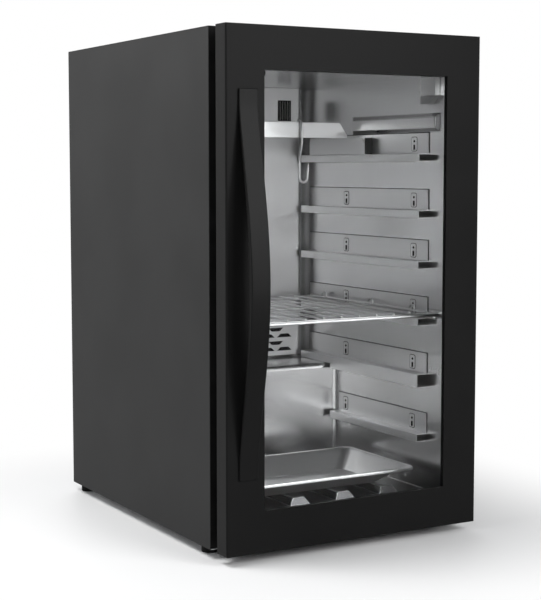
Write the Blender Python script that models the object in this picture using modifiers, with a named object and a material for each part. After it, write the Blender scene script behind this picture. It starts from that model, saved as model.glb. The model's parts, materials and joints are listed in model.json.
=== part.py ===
"""An undercounter dry aging cabinet: a black steel casing round a stainless cold space, with a glass door.

It is drawn in metres. X runs to the right, Y to the back from the door's front face, and Z up from the
floor. At the end the empty named cabinet moves the whole model back or forth, so that the world's origin
lies on the floor under the middle of the cabinet. Every piece is one closed solid in an object of its own.
The pieces that move hang on their own joint: the door on an empty on its hinge line, the others on their
own origins.
"""

import math

import bmesh
import bpy
from mathutils import Matrix, Vector

# Clearances and overlaps that all pieces share
CLEAR = 0.0003
RUN = 0.0006
OVERRUN = 0.010
JOIN = 0.0010
WELD = 0.00001

# Facets of round shapes, in pieces of an arc or sides of a circle
CORNER_STEPS = 4
ROUND_SIDES = 24
SMALL_SIDES = 12

# The casing
WIDTH = 0.488
HEIGHT = 0.850
BODY_DEPTH = 0.5845
FOOT_HEIGHT = 0.016
CASE_SHEET = 0.0008
BASE_SHEET = 0.0012
PANEL_RETURN = 0.012
FRAME_DEPTH = 0.008

# The walls round the cold space and the machine room
SIDE_WALL = 0.032
TOP_WALL = 0.064
FLOOR_WALL = 0.040
BACK_WALL = 0.055
REAR_RECESS = 0.042
LINER_SHEET = 0.0008
LINER_CORNER = 0.012
HUMP_DEPTH = 0.143
HUMP_EDGE = 0.010
HUMP_WALL = 0.030
MACHINE_WALL = 0.012

# The ribs pressed up in the floor, which carry the drip tray
RIB_COUNT = 4
RIB_PITCH = 0.0910
RIB_BASE = 0.041
RIB_TOP = 0.024
RIB_RISE = 0.013
RIB_SETBACK = 0.0495
RIB_GAP = 0.016

# The shelf rails on both walls: each ledge's level as a share of the cold space's height, from the top down
LEDGE_LEVELS = (0.81945, 0.68356, 0.56096, 0.42329, 0.28630, 0.13932)
RAIL_SHEET = 0.0012
RAIL_PLATE = 0.036
LEDGE_HEIGHT = 0.014
DEEP_LEDGE_HEIGHT = 0.024
LEDGE_REACH = 0.022
RAIL_SETBACK = 0.043
RAIL_LENGTH = 0.3995
RAIL_HOLE = 0.0022
RAIL_HOLE_RISE = 0.0220
RAIL_SLOT_WIDTH = 0.0040
RAIL_SLOT_LENGTH = 0.0105
RAIL_SLOT_RISE = 0.0110
RAIL_FRONT_FIXING = 0.0429
RAIL_REAR_FIXING = 0.0245

# The bead pressed in each wall above the top rail
SHOULDER_HEIGHT = 0.0325
SHOULDER_REACH = 0.007
SHOULDER_SETBACK = 0.012
SHOULDER_LENGTH = 0.276
SHOULDER_GAP = 0.0015

# The air duct's cover, in front of the cold space's back wall
DUCT_SIDE_GAP = 0.0145
DUCT_RISE = 0.005
DUCT_DEPTH = 0.035
DUCT_SHEET = 0.0010
DUCT_BEND = 0.010
VENT_COUNT = 5
VENT_PITCH = 0.0055
VENT_WIDTH = 0.0037
VENT_HEIGHT = 0.038
VENT_DROP = 0.0254
VENT_INSET = 0.0282
GRILLE_PITCH = 0.0393
GRILLE_WIDE = 0.0343
GRILLE_NARROW = 0.0183
GRILLE_SLOT = 0.0072
GRILLE_WEB = 0.0050
GRILLE_GROUP_GAP = 0.0075
GRILLE_RISE = 0.0141
GRILLE_MARGIN = 0.0234

# The circulation fan behind the cover
FAN_SIZE = 0.100
FAN_DEPTH = 0.018
FAN_BORE = 0.044
FAN_RISE = 0.260
FAN_HUB = 0.016
FAN_HUB_DEPTH = 0.009
FAN_SHAFT = 0.0020
FAN_SPOKE = 0.005
FAN_SPOKE_DEPTH = 0.003
FAN_SPOKES = 3
FAN_BLADES = 7
FAN_BLADE_SHEET = 0.0016
FAN_BLADE_CHORD = 0.016
FAN_BLADE_PITCH = 30
FAN_TIP_GAP = 0.003
FAN_GRILLE_ROWS = 5
FAN_GRILLE_SLOT = 0.006
FAN_GRILLE_PITCH = 0.015

# The evaporator on the back wall inside the duct
EVAPORATOR_SIDE_GAP = 0.0475
EVAPORATOR_HEIGHT = 0.120
EVAPORATOR_PLATE = 0.003
EVAPORATOR_FIN = 0.0015
EVAPORATOR_FIN_DEPTH = 0.020
EVAPORATOR_FINS = 16
EVAPORATOR_RISE = 0.060

# The hanging bar, its brackets and its hook
BRACKET_SETBACK = 0.2205
BRACKET_BACK_GAP = 0.035
BRACKET_HEIGHT = 0.030
BRACKET_SHEET = 0.0015
BRACKET_REACH = 0.0165
BRACKET_CHAMFER = 0.011
BAR_SETBACK = 0.2835
BAR_HEIGHT = 0.0285
BAR_DEPTH = 0.008
BAR_SHEET = 0.0015
BAR_END_GAP = 0.0174
BAR_CHAMFER_WIDTH = 0.016
BAR_CHAMFER_HEIGHT = 0.022
HOOK_WIRE = 0.0025
HOOK_ROOM = 0.0025
HOOK_TAIL = 0.009
HOOK_LENGTH = 0.120
HOOK_BEND = 0.0085
HOOK_TIP = 0.024
HOOK_PLACE = 0.093
HOOK_SWEEP = 0.045

# The wire shelf
SHELF_LEVEL = 4
SIDE_WIRE = 0.0035
CROSS_WIRE = 0.0028
ROD_WIRE = 0.0020
ROD_COUNT = 12
ROD_SIDE_GAP = 0.0173
SHELF_SETBACK = 0.0032
SHELF_BACK_GAP = 0.020
SHELF_SIDE_GAP = 0.003
SHELF_WELD = 0.0012
ROD_SETBACK = 0.020
ROD_OVERHANG = 0.003
STOP_WIRE = 0.0020
STOP_HEIGHT = 0.017
STOP_WIDTH = 0.014
STOP_SHARES = (0.170, 0.479, 0.860)

# The drip tray on the floor ribs
TRAY_SIDE_GAP = 0.024
TRAY_HUMP_GAP = 0.0837
TRAY_HEIGHT = 0.0312
TRAY_SHEET = 0.0010
TRAY_RIM = 0.008
TRAY_LIP = 0.006
TRAY_SLOPE = 0.040
TRAY_CORNER = 0.014
TRAY_SETBACK = 0.0388

# Small fittings inside
LAMP_THICKNESS = 0.0098
LAMP_SETBACK = 0.0137
LAMP_WIDTH = 0.043
LAMP_GAP = 0.0160
LENS_HEIGHT = 0.0135
LAMP_CUT = 0.018
PANEL_SPAN = 0.070
PANEL_DEPTH = 0.056
PANEL_HEIGHT = 0.010
PANEL_SIDE_GAP = 0.008
PANEL_SETBACK = 0.0115
PANEL_EDGE = 0.003
SENSOR_RADIUS = 0.008
SENSOR_REACH = 0.011
SENSOR_BACK_GAP = 0.095

# The door
DOOR_DEPTH = 0.033
DOOR_EDGE = 0.003
DOOR_BORDER = 0.0684
DOOR_LIP = 0.008
PANE_SIDE = 0.0275
PANE_TOP = 0.0610
PANE_BOTTOM = 0.0395
PANE_HELD = 0.006
GLASS_SHEET = 0.004
GLASS_SPACE = 0.012
DOOR_LINER_DEPTH = 0.012
DOOR_LINER_INSET = 0.012
GASKET_DEPTH = 0.0116
GASKET_LAP = 0.0015
GASKET_WIDTH = 0.014

# The hinges
HINGE_EDGE_GAP = 0.012
HINGE_SETBACK = 0.017
HINGE_SHEET = 0.0025
HINGE_HALF_WIDTH = 0.0070
HINGE_REACH = 0.055
HINGE_SWEEP_ROOM = 0.0040
PIN_RADIUS = 0.0035
BUSH_WALL = 0.0022
BUSH_LENGTH = 0.012

# The handle
HANDLE_WIDTH = 0.0335
HANDLE_INSET = 0.0215
HANDLE_RISE = 0.121
HANDLE_DROP = 0.099
HANDLE_REACH = 0.044
HANDLE_MIDDLE = 0.009
HANDLE_END = 0.004
HANDLE_PAD = 0.022
HANDLE_EDGE = 0.0015
HANDLE_STEPS = 20
BOW_POWER = 1.3
SCREW_RADIUS = 0.0020
SCREW_HEAD = 0.0040
SCREW_HEAD_DEPTH = 0.0025
SCREW_BITE = 0.0025

# The feet
FOOT_RADIUS = 0.014
FOOT_PAD = 0.011
FOOT_EDGE = 0.0015
FOOT_NECK = 0.008
FOOT_STUD = 0.004
FOOT_STUD_REACH = 0.008
FOOT_SIDE_INSET = 0.024
FOOT_FRONT_INSET = 0.0475
FOOT_REAR_INSET = 0.020

# The machine room
COVER_INSET = 0.005
COVER_SHEET = 0.001
COVER_SLOTS = 14
COVER_SLOT_SIDE_GAP = 0.0674
COVER_SLOT_WIDTH = 0.006
COVER_SLOT_GAP = 0.020
COVER_SLOT_RISE = 0.050
COVER_SLOT_DROP = 0.0235
COMPRESSOR_RADIUS = 0.062
COMPRESSOR_HEIGHT = 0.135
COMPRESSOR_SEAM = 0.004
COMPRESSOR_SIDE_GAP = 0.1309
COMPRESSOR_CLEARANCE = 0.037
MOUNT_HALF_WIDTH = 0.078
MOUNT_HALF_DEPTH = 0.055
MOUNT_SHEET = 0.003
MOUNT_CORNER = 0.012
GROMMET_RADIUS = 0.009
GROMMET_HEIGHT = 0.010
GROMMET_INSET = 0.013
PAN_SIDE_GAP = 0.0359
PAN_MOUNT_GAP = 0.067
PAN_DEPTH = 0.120
PAN_HEIGHT = 0.028
PAN_SHEET = 0.0020
PAN_SLOPE = 0.004
PAN_CORNER = 0.012
DRAIN_RADIUS = 0.006
DRAIN_WALL = 0.0015
DRAIN_END_GAP = 0.004
COIL_TUBE = 0.0025
COIL_RUNS = 7
COIL_DROP = 0.1273
COIL_SIDE_GAP = 0.054
COIL_STANDOFF = 0.014
COIL_RISE = 0.045
COIL_BEND = 0.012
COIL_RETURN_GAP = 0.028
GLAND_RADIUS = 0.008
GLAND_FLANGE = 0.0115
GLAND_FLANGE_DEPTH = 0.003
GLAND_LENGTH = 0.018
GLAND_BORE = 0.0035
GLAND_SIDE_GAP = 0.0529
GLAND_RISE = 0.035

# Planes and levels worked out from the sizes above
HALF = WIDTH / 2
BODY_FRONT = DOOR_DEPTH + CLEAR + DOOR_LINER_DEPTH + CLEAR + GASKET_DEPTH + CLEAR
BODY_BACK = BODY_FRONT + BODY_DEPTH
CASE_INNER = HALF - CASE_SHEET - CLEAR
BASE_TOP = FOOT_HEIGHT + BASE_SHEET
ROOF = HEIGHT - CASE_SHEET - CLEAR
FOAM_FRONT = BODY_FRONT + FRAME_DEPTH + CLEAR
REAR_PLANE = BODY_BACK - REAR_RECESS
INNER_HALF = HALF - SIDE_WALL
CEILING = HEIGHT - TOP_WALL
FLOOR = FOOT_HEIGHT + FLOOR_WALL
CAVITY_BACK = REAR_PLANE - BACK_WALL
HUMP_FRONT = CAVITY_BACK - HUMP_DEPTH
RAIL_FRONT = BODY_FRONT + RAIL_SETBACK
HUMP_CORNER = HUMP_FRONT - LINER_CORNER - CLEAR
DUCT_HALF = INNER_HALF - DUCT_SIDE_GAP
DUCT_FRONT = CAVITY_BACK - DUCT_DEPTH
HINGE_X = HALF - HINGE_EDGE_GAP
HANDLE_LENGTH = HEIGHT - FOOT_HEIGHT - HANDLE_RISE - HANDLE_DROP


def ledge_top(level):
    """The height of a rail's ledge, where level 1 is the top rail."""
    return FLOOR + LEDGE_LEVELS[level - 1] * (CEILING - FLOOR)


RAIL_COUNT = len(LEDGE_LEVELS)
HUMP_TOP = ledge_top(RAIL_COUNT - 1) - LEDGE_HEIGHT - CLEAR
MACHINE_FRONT = HUMP_FRONT + HUMP_WALL
MACHINE_TOP = HUMP_TOP - HUMP_WALL
MACHINE_HALF = CASE_INNER - MACHINE_WALL
COVER_BACK = BODY_BACK - COVER_INSET
COMPRESSOR_X = MACHINE_HALF - COMPRESSOR_SIDE_GAP
PAN_SPAN = (PAN_SIDE_GAP - MACHINE_HALF, COMPRESSOR_X - MOUNT_HALF_WIDTH - PAN_MOUNT_GAP)
DRAIN_X = sum(PAN_SPAN) / 2
BRACKET_TOP = ledge_top(1) + CLEAR + BRACKET_HEIGHT
BAR_BOTTOM = BRACKET_TOP + CLEAR
BAR_TOP = BAR_BOTTOM + BAR_HEIGHT
BAR_MIDDLE = BODY_FRONT + BAR_SETBACK + BAR_DEPTH / 2
SHOULDER_LOW = ledge_top(1) + RAIL_PLATE + SHOULDER_GAP
SHOULDER_TOP = SHOULDER_LOW + SHOULDER_HEIGHT

# Matrices that stand a drawing in X and Y up, so that its depth runs along the named axis
STAND = {
    "X": Matrix(((0, 0, 1), (1, 0, 0), (0, 1, 0))).to_4x4(),
    "Y": Matrix(((1, 0, 0), (0, 0, 1), (0, 1, 0))).to_4x4(),
    "Z": Matrix.Identity(4),
}


def fresh_collection(name):
    collection = bpy.data.collections.new(name)
    bpy.context.scene.collection.children.link(collection)
    return collection


for leftover in list(bpy.data.objects):
    bpy.data.objects.remove(leftover)

PIECES = fresh_collection("dry_aging_cabinet")
CUTTERS = fresh_collection("cutters")


def new_object(name, mesh):
    made = bpy.data.objects.new(name, mesh)
    PIECES.objects.link(made)
    return made


def closed_mesh(mesh):
    """Welds a mesh's loose caps and turns its faces outwards."""
    shape = bmesh.new()
    shape.from_mesh(mesh)
    bmesh.ops.remove_doubles(shape, verts=shape.verts, dist=WELD)
    bmesh.ops.recalc_face_normals(shape, faces=shape.faces)
    shape.to_mesh(mesh)
    shape.free()


def made_solid(drawn, turn):
    """Makes a drawn curve, or a profile with a Screw, a closed mesh that is turned into place."""
    name = drawn.name
    PIECES.objects.link(drawn)
    graph = bpy.context.evaluated_depsgraph_get()
    mesh = bpy.data.meshes.new_from_object(drawn.evaluated_get(graph))
    mesh.transform(turn)
    closed_mesh(mesh)
    bpy.data.objects.remove(drawn)
    return new_object(name, mesh)


def prism(name, outlines, axis, low, high):
    """Flat outlines drawn out along an axis from low to high. An outline inside another is a hole."""
    curve = bpy.data.curves.new(name, "CURVE")
    curve.dimensions = "2D"
    curve.fill_mode = "BOTH"
    curve.extrude = (high - low) / 2
    for outline in outlines:
        spline = curve.splines.new("POLY")
        spline.points.add(len(outline) - 1)
        for point, (u, v) in zip(spline.points, outline):
            point.co = (u, v, 0, 1)
        spline.use_cyclic_u = True
    middle = Matrix.Translation((0, 0, (low + high) / 2))
    return made_solid(bpy.data.objects.new(name, curve), STAND[axis] @ middle)


def tube(name, points, radius, resolution=1):
    """A round bar or wire along points, with closed ends."""
    curve = bpy.data.curves.new(name, "CURVE")
    curve.dimensions = "3D"
    curve.bevel_depth = radius
    curve.bevel_resolution = resolution
    curve.use_fill_caps = True
    spline = curve.splines.new("POLY")
    spline.points.add(len(points) - 1)
    for point, place in zip(spline.points, points):
        point.co = (*place, 1)
    return made_solid(bpy.data.objects.new(name, curve), Matrix.Identity(4))


def turned(name, profile, axis, place, closed=False, sides=ROUND_SIDES):
    """A turned shape: profile holds radius and height, from the top down its outer side."""
    mesh = bpy.data.meshes.new(name)
    edges = [(index, index + 1) for index in range(len(profile) - 1)]
    if closed:
        edges.append((len(profile) - 1, 0))
    mesh.from_pydata([(radius, 0, height) for radius, height in profile], edges, [])
    drawn = bpy.data.objects.new(name, mesh)
    screw = drawn.modifiers.new("turn", "SCREW")
    screw.axis = "Z"
    screw.steps = screw.render_steps = sides
    screw.use_merge_vertices = True
    screw.merge_threshold = WELD
    return made_solid(drawn, Matrix.Translation(place) @ STAND[axis])


def rod(name, axis, place, radius, low, high, sides=SMALL_SIDES):
    """A cylinder along an axis, centred on place in the plane across it."""
    mesh = bpy.data.meshes.new(name)
    shape = bmesh.new()
    middle = Matrix.Translation((0, 0, (low + high) / 2))
    bmesh.ops.create_cone(
        shape,
        cap_ends=True,
        segments=sides,
        radius1=radius,
        radius2=radius,
        depth=high - low,
        matrix=STAND[axis] @ Matrix.Translation((*place, 0)) @ middle,
    )
    bmesh.ops.recalc_face_normals(shape, faces=shape.faces)
    shape.to_mesh(mesh)
    shape.free()
    return new_object(name, mesh)


def block(name, x, y, z):
    """A box over the spans x, y and z."""
    mesh = bpy.data.meshes.new(name)
    shape = bmesh.new()
    low, high = Vector((x[0], y[0], z[0])), Vector((x[1], y[1], z[1]))
    middle = Matrix.Translation((low + high) / 2)
    bmesh.ops.create_cube(shape, size=1, matrix=middle @ Matrix.Diagonal((*(high - low), 1)))
    shape.to_mesh(mesh)
    shape.free()
    return new_object(name, mesh)


def pan(name, rings, thickness):
    """An open tray: rings of points, from its rim in and down, with a floor and a wall's thickness below."""
    mesh = bpy.data.meshes.new(name)
    shape = bmesh.new()
    rows = [[shape.verts.new(point) for point in ring] for ring in rings]
    for outer, inner in zip(rows, rows[1:]):
        for index, corner in enumerate(outer):
            following = (index + 1) % len(outer)
            shape.faces.new((corner, outer[following], inner[following], inner[index]))
    shape.faces.new(rows[-1])
    bmesh.ops.recalc_face_normals(shape, faces=shape.faces)
    if shape.faces[-1].normal.z < 0:
        bmesh.ops.reverse_faces(shape, faces=shape.faces)
    shape.to_mesh(mesh)
    shape.free()
    tray = new_object(name, mesh)
    wall = tray.modifiers.new("wall", "SOLIDIFY")
    wall.thickness = thickness
    wall.offset = -1
    wall.use_even_offset = True
    return tray


def as_helper(tool):
    """Moves a cutter out of the model, where it still cuts but isn't a piece."""
    tool.hide_render = True
    tool.display_type = "WIRE"
    if tool.name in PIECES.objects:
        PIECES.objects.unlink(tool)
        CUTTERS.objects.link(tool)


def boolean(target, operation, tools):
    for tool in tools:
        change = target.modifiers.new(operation.lower() + " " + tool.name, "BOOLEAN")
        change.operation = operation
        change.solver = "EXACT"
        change.object = tool
        as_helper(tool)
    return target


def cut(target, *tools):
    return boolean(target, "DIFFERENCE", tools)


def unite(target, *tools):
    return boolean(target, "UNION", tools)


def soften(target, width, segments=2, angle=40):
    """Rounds the edges that are sharper than angle, in degrees."""
    edge = target.modifiers.new("edges", "BEVEL")
    edge.width = width
    edge.segments = segments
    edge.limit_method = "ANGLE"
    edge.angle_limit = math.radians(angle)
    return target


def finish(piece, colour, roughness, metallic, clear=0):
    """Gives a piece its own material, where clear is how much light passes through it.

    It also smooths a piece's round faces, but not those of a piece with a Boolean, whose new edges would
    have no sharp mark.
    """
    material = bpy.data.materials.new(piece.name)
    material.use_nodes = True
    shader = material.node_tree.nodes["Principled BSDF"]
    shader.inputs["Base Color"].default_value = (*colour, 1)
    shader.inputs["Roughness"].default_value = roughness
    shader.inputs["Metallic"].default_value = metallic
    shader.inputs["Transmission Weight"].default_value = clear
    piece.data.materials.clear()
    piece.data.materials.append(material)
    if any(modifier.type == "BOOLEAN" for modifier in piece.modifiers):
        piece.data.shade_flat()
    else:
        piece.data.shade_smooth()
        piece.data.set_sharp_from_angle(angle=math.radians(35))
    return piece


def black_steel(piece):
    return finish(piece, (0.022, 0.022, 0.023), 0.42, 0)


def stainless(piece):
    return finish(piece, (0.52, 0.53, 0.54), 0.24, 1)


def galvanised(piece):
    return finish(piece, (0.45, 0.46, 0.47), 0.45, 1)


def aluminium(piece):
    return finish(piece, (0.62, 0.63, 0.64), 0.38, 1)


def black_plastic(piece):
    return finish(piece, (0.015, 0.015, 0.016), 0.48, 0)


def clear_glass(piece):
    return finish(piece, (0.92, 0.96, 0.95), 0.02, 0, clear=1)


def arc(centre, radius, start, end, steps=CORNER_STEPS):
    """Points on an arc, from the angle start to the angle end, in degrees."""
    turns = [math.radians(start + (end - start) * step / steps) for step in range(steps + 1)]
    return [(centre[0] + radius * math.cos(turn), centre[1] + radius * math.sin(turn)) for turn in turns]


def circle(centre, radius, sides=SMALL_SIDES):
    return arc(centre, radius, 0, 360, sides)[:-1]


def rectangle(u, v):
    return [(u[0], v[0]), (u[1], v[0]), (u[1], v[1]), (u[0], v[1])]


def rounded(u, v, radius, steps=CORNER_STEPS):
    """A rectangle over the spans u and v with round corners."""
    left, right, low, high = u[0] + radius, u[1] - radius, v[0] + radius, v[1] - radius
    return (
        arc((right, low), radius, -90, 0, steps)
        + arc((right, high), radius, 0, 90, steps)
        + arc((left, high), radius, 90, 180, steps)
        + arc((left, low), radius, 180, 270, steps)
    )


def inset(span, by):
    return span[0] + by, span[1] - by


def mirrored(outline):
    """The outline on the other side of the cabinet's middle plane."""
    return [(-u, v) for u, v in reversed(outline)]


def on_side(side, u):
    """A span of distances from the middle plane, on the right for side 1 and on the left for side -1."""
    return tuple(sorted((side * u[0], side * u[1])))


def empty(name, place, parent=None):
    """An empty that carries pieces. Its place is in the cabinet's own coordinates."""
    holder = bpy.data.objects.new(name, None)
    PIECES.objects.link(holder)
    holder.location = place
    holder.parent = parent
    return holder


def gather(holder):
    """Hangs all that was made since the last call on an empty, and leaves it where it is."""
    for made in list(PIECES.objects) + list(CUTTERS.objects):
        if made.type == "MESH" and made.parent is None:
            made.parent = holder
            if holder.parent:
                made.location -= holder.location


def origin_at(piece, place):
    """Puts a piece's origin on its joint and leaves its shape where it is."""
    piece.data.transform(Matrix.Translation(-Vector(place)))
    piece.location = place
    return piece


# The cold space, as the liner's inside, its outside and the foam's inside need it


def tapered(name, x, y, z, slope_x, slope_y):
    """A block whose top is drawn in by slope_x and slope_y on each side."""
    shape = block(name, x, y, z)
    middle = Vector(((x[0] + x[1]) / 2, (y[0] + y[1]) / 2))
    for corner in shape.data.vertices:
        if corner.co.z > (z[0] + z[1]) / 2:
            corner.co.x -= math.copysign(slope_x, corner.co.x - middle.x)
            corner.co.y -= math.copysign(slope_y, corner.co.y - middle.y)
    return shape


def floor_rib(name, x, grow):
    """A pressed rib, made smaller by the sheet that lies over it."""
    rise = RIB_RISE - grow
    drop = LINER_SHEET + OVERRUN
    slope = (RIB_BASE - RIB_TOP) / 2 / RIB_RISE
    half = RIB_BASE / 2 - grow + slope * drop
    front = BODY_FRONT + RIB_SETBACK + grow - slope * drop
    back = HUMP_FRONT - RIB_GAP - grow + slope * drop
    taper = slope * (rise + drop)
    return tapered(name, (x - half, x + half), (front, back), (FLOOR - drop, FLOOR + rise), taper, taper)


def shoulder(name, side, grow):
    """The bead pressed in a wall above the top rail, with sloping edges all round."""
    low, high = SHOULDER_LOW + grow, SHOULDER_TOP - grow
    front = BODY_FRONT + SHOULDER_SETBACK + grow
    back = front + SHOULDER_LENGTH - 2 * grow
    drop = LINER_SHEET + OVERRUN
    reach = SHOULDER_REACH - grow
    slope = reach + drop
    spans = ((low - drop, high + drop), (front - drop, back + drop), (-drop, reach))
    bead = tapered(name, *spans, slope, slope)
    stand = Matrix(((0, 0, -side), (0, 1, 0), (1, 0, 0))).to_4x4()
    bead.data.transform(Matrix.Translation((side * INNER_HALF, 0, 0)) @ stand)
    closed_mesh(bead.data)
    return bead


def mouth(grow):
    """The outline of the cold space's opening, made larger by grow."""
    return rectangle((-INNER_HALF - grow, INNER_HALF + grow), (FLOOR - grow, CEILING + grow))


def cold_space(name, grow, start):
    """The room inside, made larger by grow on its walls, with ribs and beads taken out of it."""
    low, high = FLOOR - grow, CEILING + grow
    step, back, top = HUMP_FRONT + grow, CAVITY_BACK + grow, HUMP_TOP - grow
    edge = HUMP_EDGE - grow
    profile = [(start, low), (step, low)]
    profile += [(step, top)] if edge <= 0 else arc((step + edge, top - edge), edge, 180, 90)
    profile += [(back, top), (back, high), (start, high)]
    room = prism(name, [profile], "X", -INNER_HALF - grow, INNER_HALF + grow)
    shape = bmesh.new()
    shape.from_mesh(room.data)
    upright = [
        edge
        for edge in shape.edges
        if abs(edge.verts[0].co.x - edge.verts[1].co.x) < WELD
        and abs(edge.verts[0].co.y - edge.verts[1].co.y) < WELD
        and edge.verts[0].co.y > start + WELD
        and abs(abs(edge.verts[0].co.x) - INNER_HALF - grow) < WELD
        and edge.is_convex
    ]
    bmesh.ops.bevel(
        shape,
        geom=upright,
        offset=LINER_CORNER + grow,
        offset_type="OFFSET",
        segments=CORNER_STEPS,
        profile=0.5,
        affect="EDGES",
    )
    shape.to_mesh(room.data)
    shape.free()
    middle = (RIB_COUNT - 1) / 2
    ribs = []
    for index in range(RIB_COUNT):
        ribs.append(floor_rib(f"{name} rib {index + 1}", (index - middle) * RIB_PITCH, grow))
    beads = [shoulder(f"{name} bead {side}", side, grow) for side in (-1, 1)]
    return cut(room, *ribs, *beads)


# The casing and the insulated box


def side_panel(name, side):
    """A painted side sheet with a flange turned in at the back."""
    outline = [
        (HALF, BODY_FRONT),
        (HALF, BODY_BACK),
        (HALF - PANEL_RETURN, BODY_BACK),
        (HALF - PANEL_RETURN, BODY_BACK - CASE_SHEET),
        (HALF - CASE_SHEET, BODY_BACK - CASE_SHEET),
        (HALF - CASE_SHEET, BODY_FRONT),
    ]
    outline = outline if side > 0 else mirrored(outline)
    return black_steel(prism(name, [outline], "Z", FOOT_HEIGHT, ROOF))


def foot_places():
    """The name and place of each foot."""
    front, back = BODY_FRONT + FOOT_FRONT_INSET, BODY_BACK - FOOT_REAR_INSET
    side = HALF - FOOT_SIDE_INSET
    return {
        "front_left_foot": (-side, front),
        "front_right_foot": (side, front),
        "rear_left_foot": (-side, back),
        "rear_right_foot": (side, back),
    }


def hinge_pocket(name, z):
    """The room for a hinge plate in the frame and foam of the body."""
    return block(
        name,
        (HINGE_X - HINGE_HALF_WIDTH - CLEAR, HINGE_X + HINGE_HALF_WIDTH + CLEAR),
        (BODY_FRONT - OVERRUN, BODY_FRONT + HINGE_REACH + CLEAR),
        z,
    )


def casing():
    side_panel("left_side_panel", -1)
    side_panel("right_side_panel", 1)
    black_steel(block("top_panel", (-HALF, HALF), (BODY_FRONT, BODY_BACK), (HEIGHT - CASE_SHEET, HEIGHT)))
    back_edge = BODY_BACK - CASE_SHEET - CLEAR
    outline = rectangle((-CASE_INNER, CASE_INNER), (BODY_FRONT, back_edge))
    holes = [circle(place, FOOT_STUD + CLEAR) for place in foot_places().values()]
    galvanised(prism("base_pan", [outline] + holes, "Z", FOOT_HEIGHT, BASE_TOP))
    galvanised(
        block(
            "back_panel",
            (-CASE_INNER, CASE_INNER),
            (REAR_PLANE - CASE_SHEET, REAR_PLANE),
            (MACHINE_TOP, ROOF),
        )
    )


def insulated_box():
    pockets = [
        hinge_pocket("top hinge pocket", (ROOF - HINGE_SHEET - CLEAR, ROOF + OVERRUN)),
        hinge_pocket("bottom hinge pocket", (FOOT_HEIGHT - OVERRUN, BASE_TOP + CLEAR + HINGE_SHEET + CLEAR)),
    ]
    outer = rectangle((-CASE_INNER, CASE_INNER), (BASE_TOP + CLEAR, ROOF))
    opening = mouth(LINER_SHEET + CLEAR)
    frame = prism("front_frame", [outer, opening], "Y", BODY_FRONT, BODY_FRONT + FRAME_DEPTH)
    black_plastic(cut(frame, *pockets))

    drain = rod(
        "drain hole",
        "Z",
        (DRAIN_X, CAVITY_BACK - DUCT_DEPTH / 2),
        DRAIN_RADIUS + CLEAR,
        MACHINE_TOP - OVERRUN,
        HUMP_TOP + OVERRUN,
    )
    liner = cold_space("inner_liner", LINER_SHEET, BODY_FRONT)
    inside = cold_space("inside of the liner", 0, BODY_FRONT - OVERRUN)
    stainless(cut(liner, inside, drain))

    foam = block(
        "insulation_foam",
        (-CASE_INNER, CASE_INNER),
        (FOAM_FRONT, REAR_PLANE - CASE_SHEET - CLEAR),
        (BASE_TOP + CLEAR, ROOF),
    )
    room = cold_space("inside of the foam", LINER_SHEET + CLEAR, BODY_FRONT - OVERRUN)
    machine_room = block(
        "machine room",
        (-MACHINE_HALF, MACHINE_HALF),
        (MACHINE_FRONT, REAR_PLANE + OVERRUN),
        (BASE_TOP - OVERRUN, MACHINE_TOP),
    )
    stud_top = BASE_TOP + FOOT_STUD_REACH + CLEAR
    studs = [
        rod(f"stud room {name}", "Z", place, FOOT_STUD + CLEAR, BASE_TOP - OVERRUN, stud_top)
        for name, place in foot_places().items()
        if place[1] < MACHINE_FRONT
    ]
    finish(cut(foam, room, machine_room, drain, *pockets, *studs), (0.82, 0.76, 0.58), 0.9, 0)


# What the cold space holds


def rail(side, level, fixings):
    """A sheet rail: a plate on the wall over an open box ledge that carries a shelf.

    The last rail but one has a deeper ledge, which is cut away over the hump.
    """
    wall = INNER_HALF - CLEAR
    face, edge = wall - RAIL_SHEET, wall - LEDGE_REACH
    top = ledge_top(level)
    deep = level == RAIL_COUNT - 1
    under = top - (DEEP_LEDGE_HEIGHT if deep else LEDGE_HEIGHT)
    outline = [
        (wall, top + RAIL_PLATE),
        (face, top + RAIL_PLATE),
        (face, top),
        (edge, top),
        (edge, under),
        (wall, under),
        (wall, under + RAIL_SHEET),
        (edge + RAIL_SHEET, under + RAIL_SHEET),
        (edge + RAIL_SHEET, top - RAIL_SHEET),
        (wall, top - RAIL_SHEET),
    ]
    outline = outline if side > 0 else mirrored(outline)
    wall_end = HUMP_CORNER if level == RAIL_COUNT else CAVITY_BACK - LINER_CORNER - CLEAR
    back = min(RAIL_FRONT + RAIL_LENGTH, wall_end)
    name = f"{'right' if side > 0 else 'left'}_rail_{level}"
    piece = cut(prism(name, [outline], "Y", RAIL_FRONT, back), fixings)
    if deep:
        notch = block(
            f"{name} notch",
            on_side(side, (edge - OVERRUN, wall + OVERRUN)),
            (HUMP_CORNER, back + OVERRUN),
            (under - OVERRUN, HUMP_TOP + CLEAR),
        )
        cut(piece, notch)
    stainless(piece)


def rail_fixings():
    """The screw holes and slots of all rails, as one cutter right through the cabinet."""
    outlines = []
    for level in range(1, RAIL_COUNT + 1):
        for place in (RAIL_FRONT + RAIL_FRONT_FIXING, HUMP_CORNER - RAIL_REAR_FIXING):
            half_width, half_length = RAIL_SLOT_WIDTH / 2, RAIL_SLOT_LENGTH / 2
            slot = ledge_top(level) + RAIL_SLOT_RISE
            outlines.append(circle((place, ledge_top(level) + RAIL_HOLE_RISE), RAIL_HOLE))
            outlines.append(
                rounded(
                    (place - half_width, place + half_width),
                    (slot - half_length, slot + half_length),
                    half_width,
                )
            )
    return prism("rail fixings", outlines, "X", -INNER_HALF - OVERRUN, INNER_HALF + OVERRUN)


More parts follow.
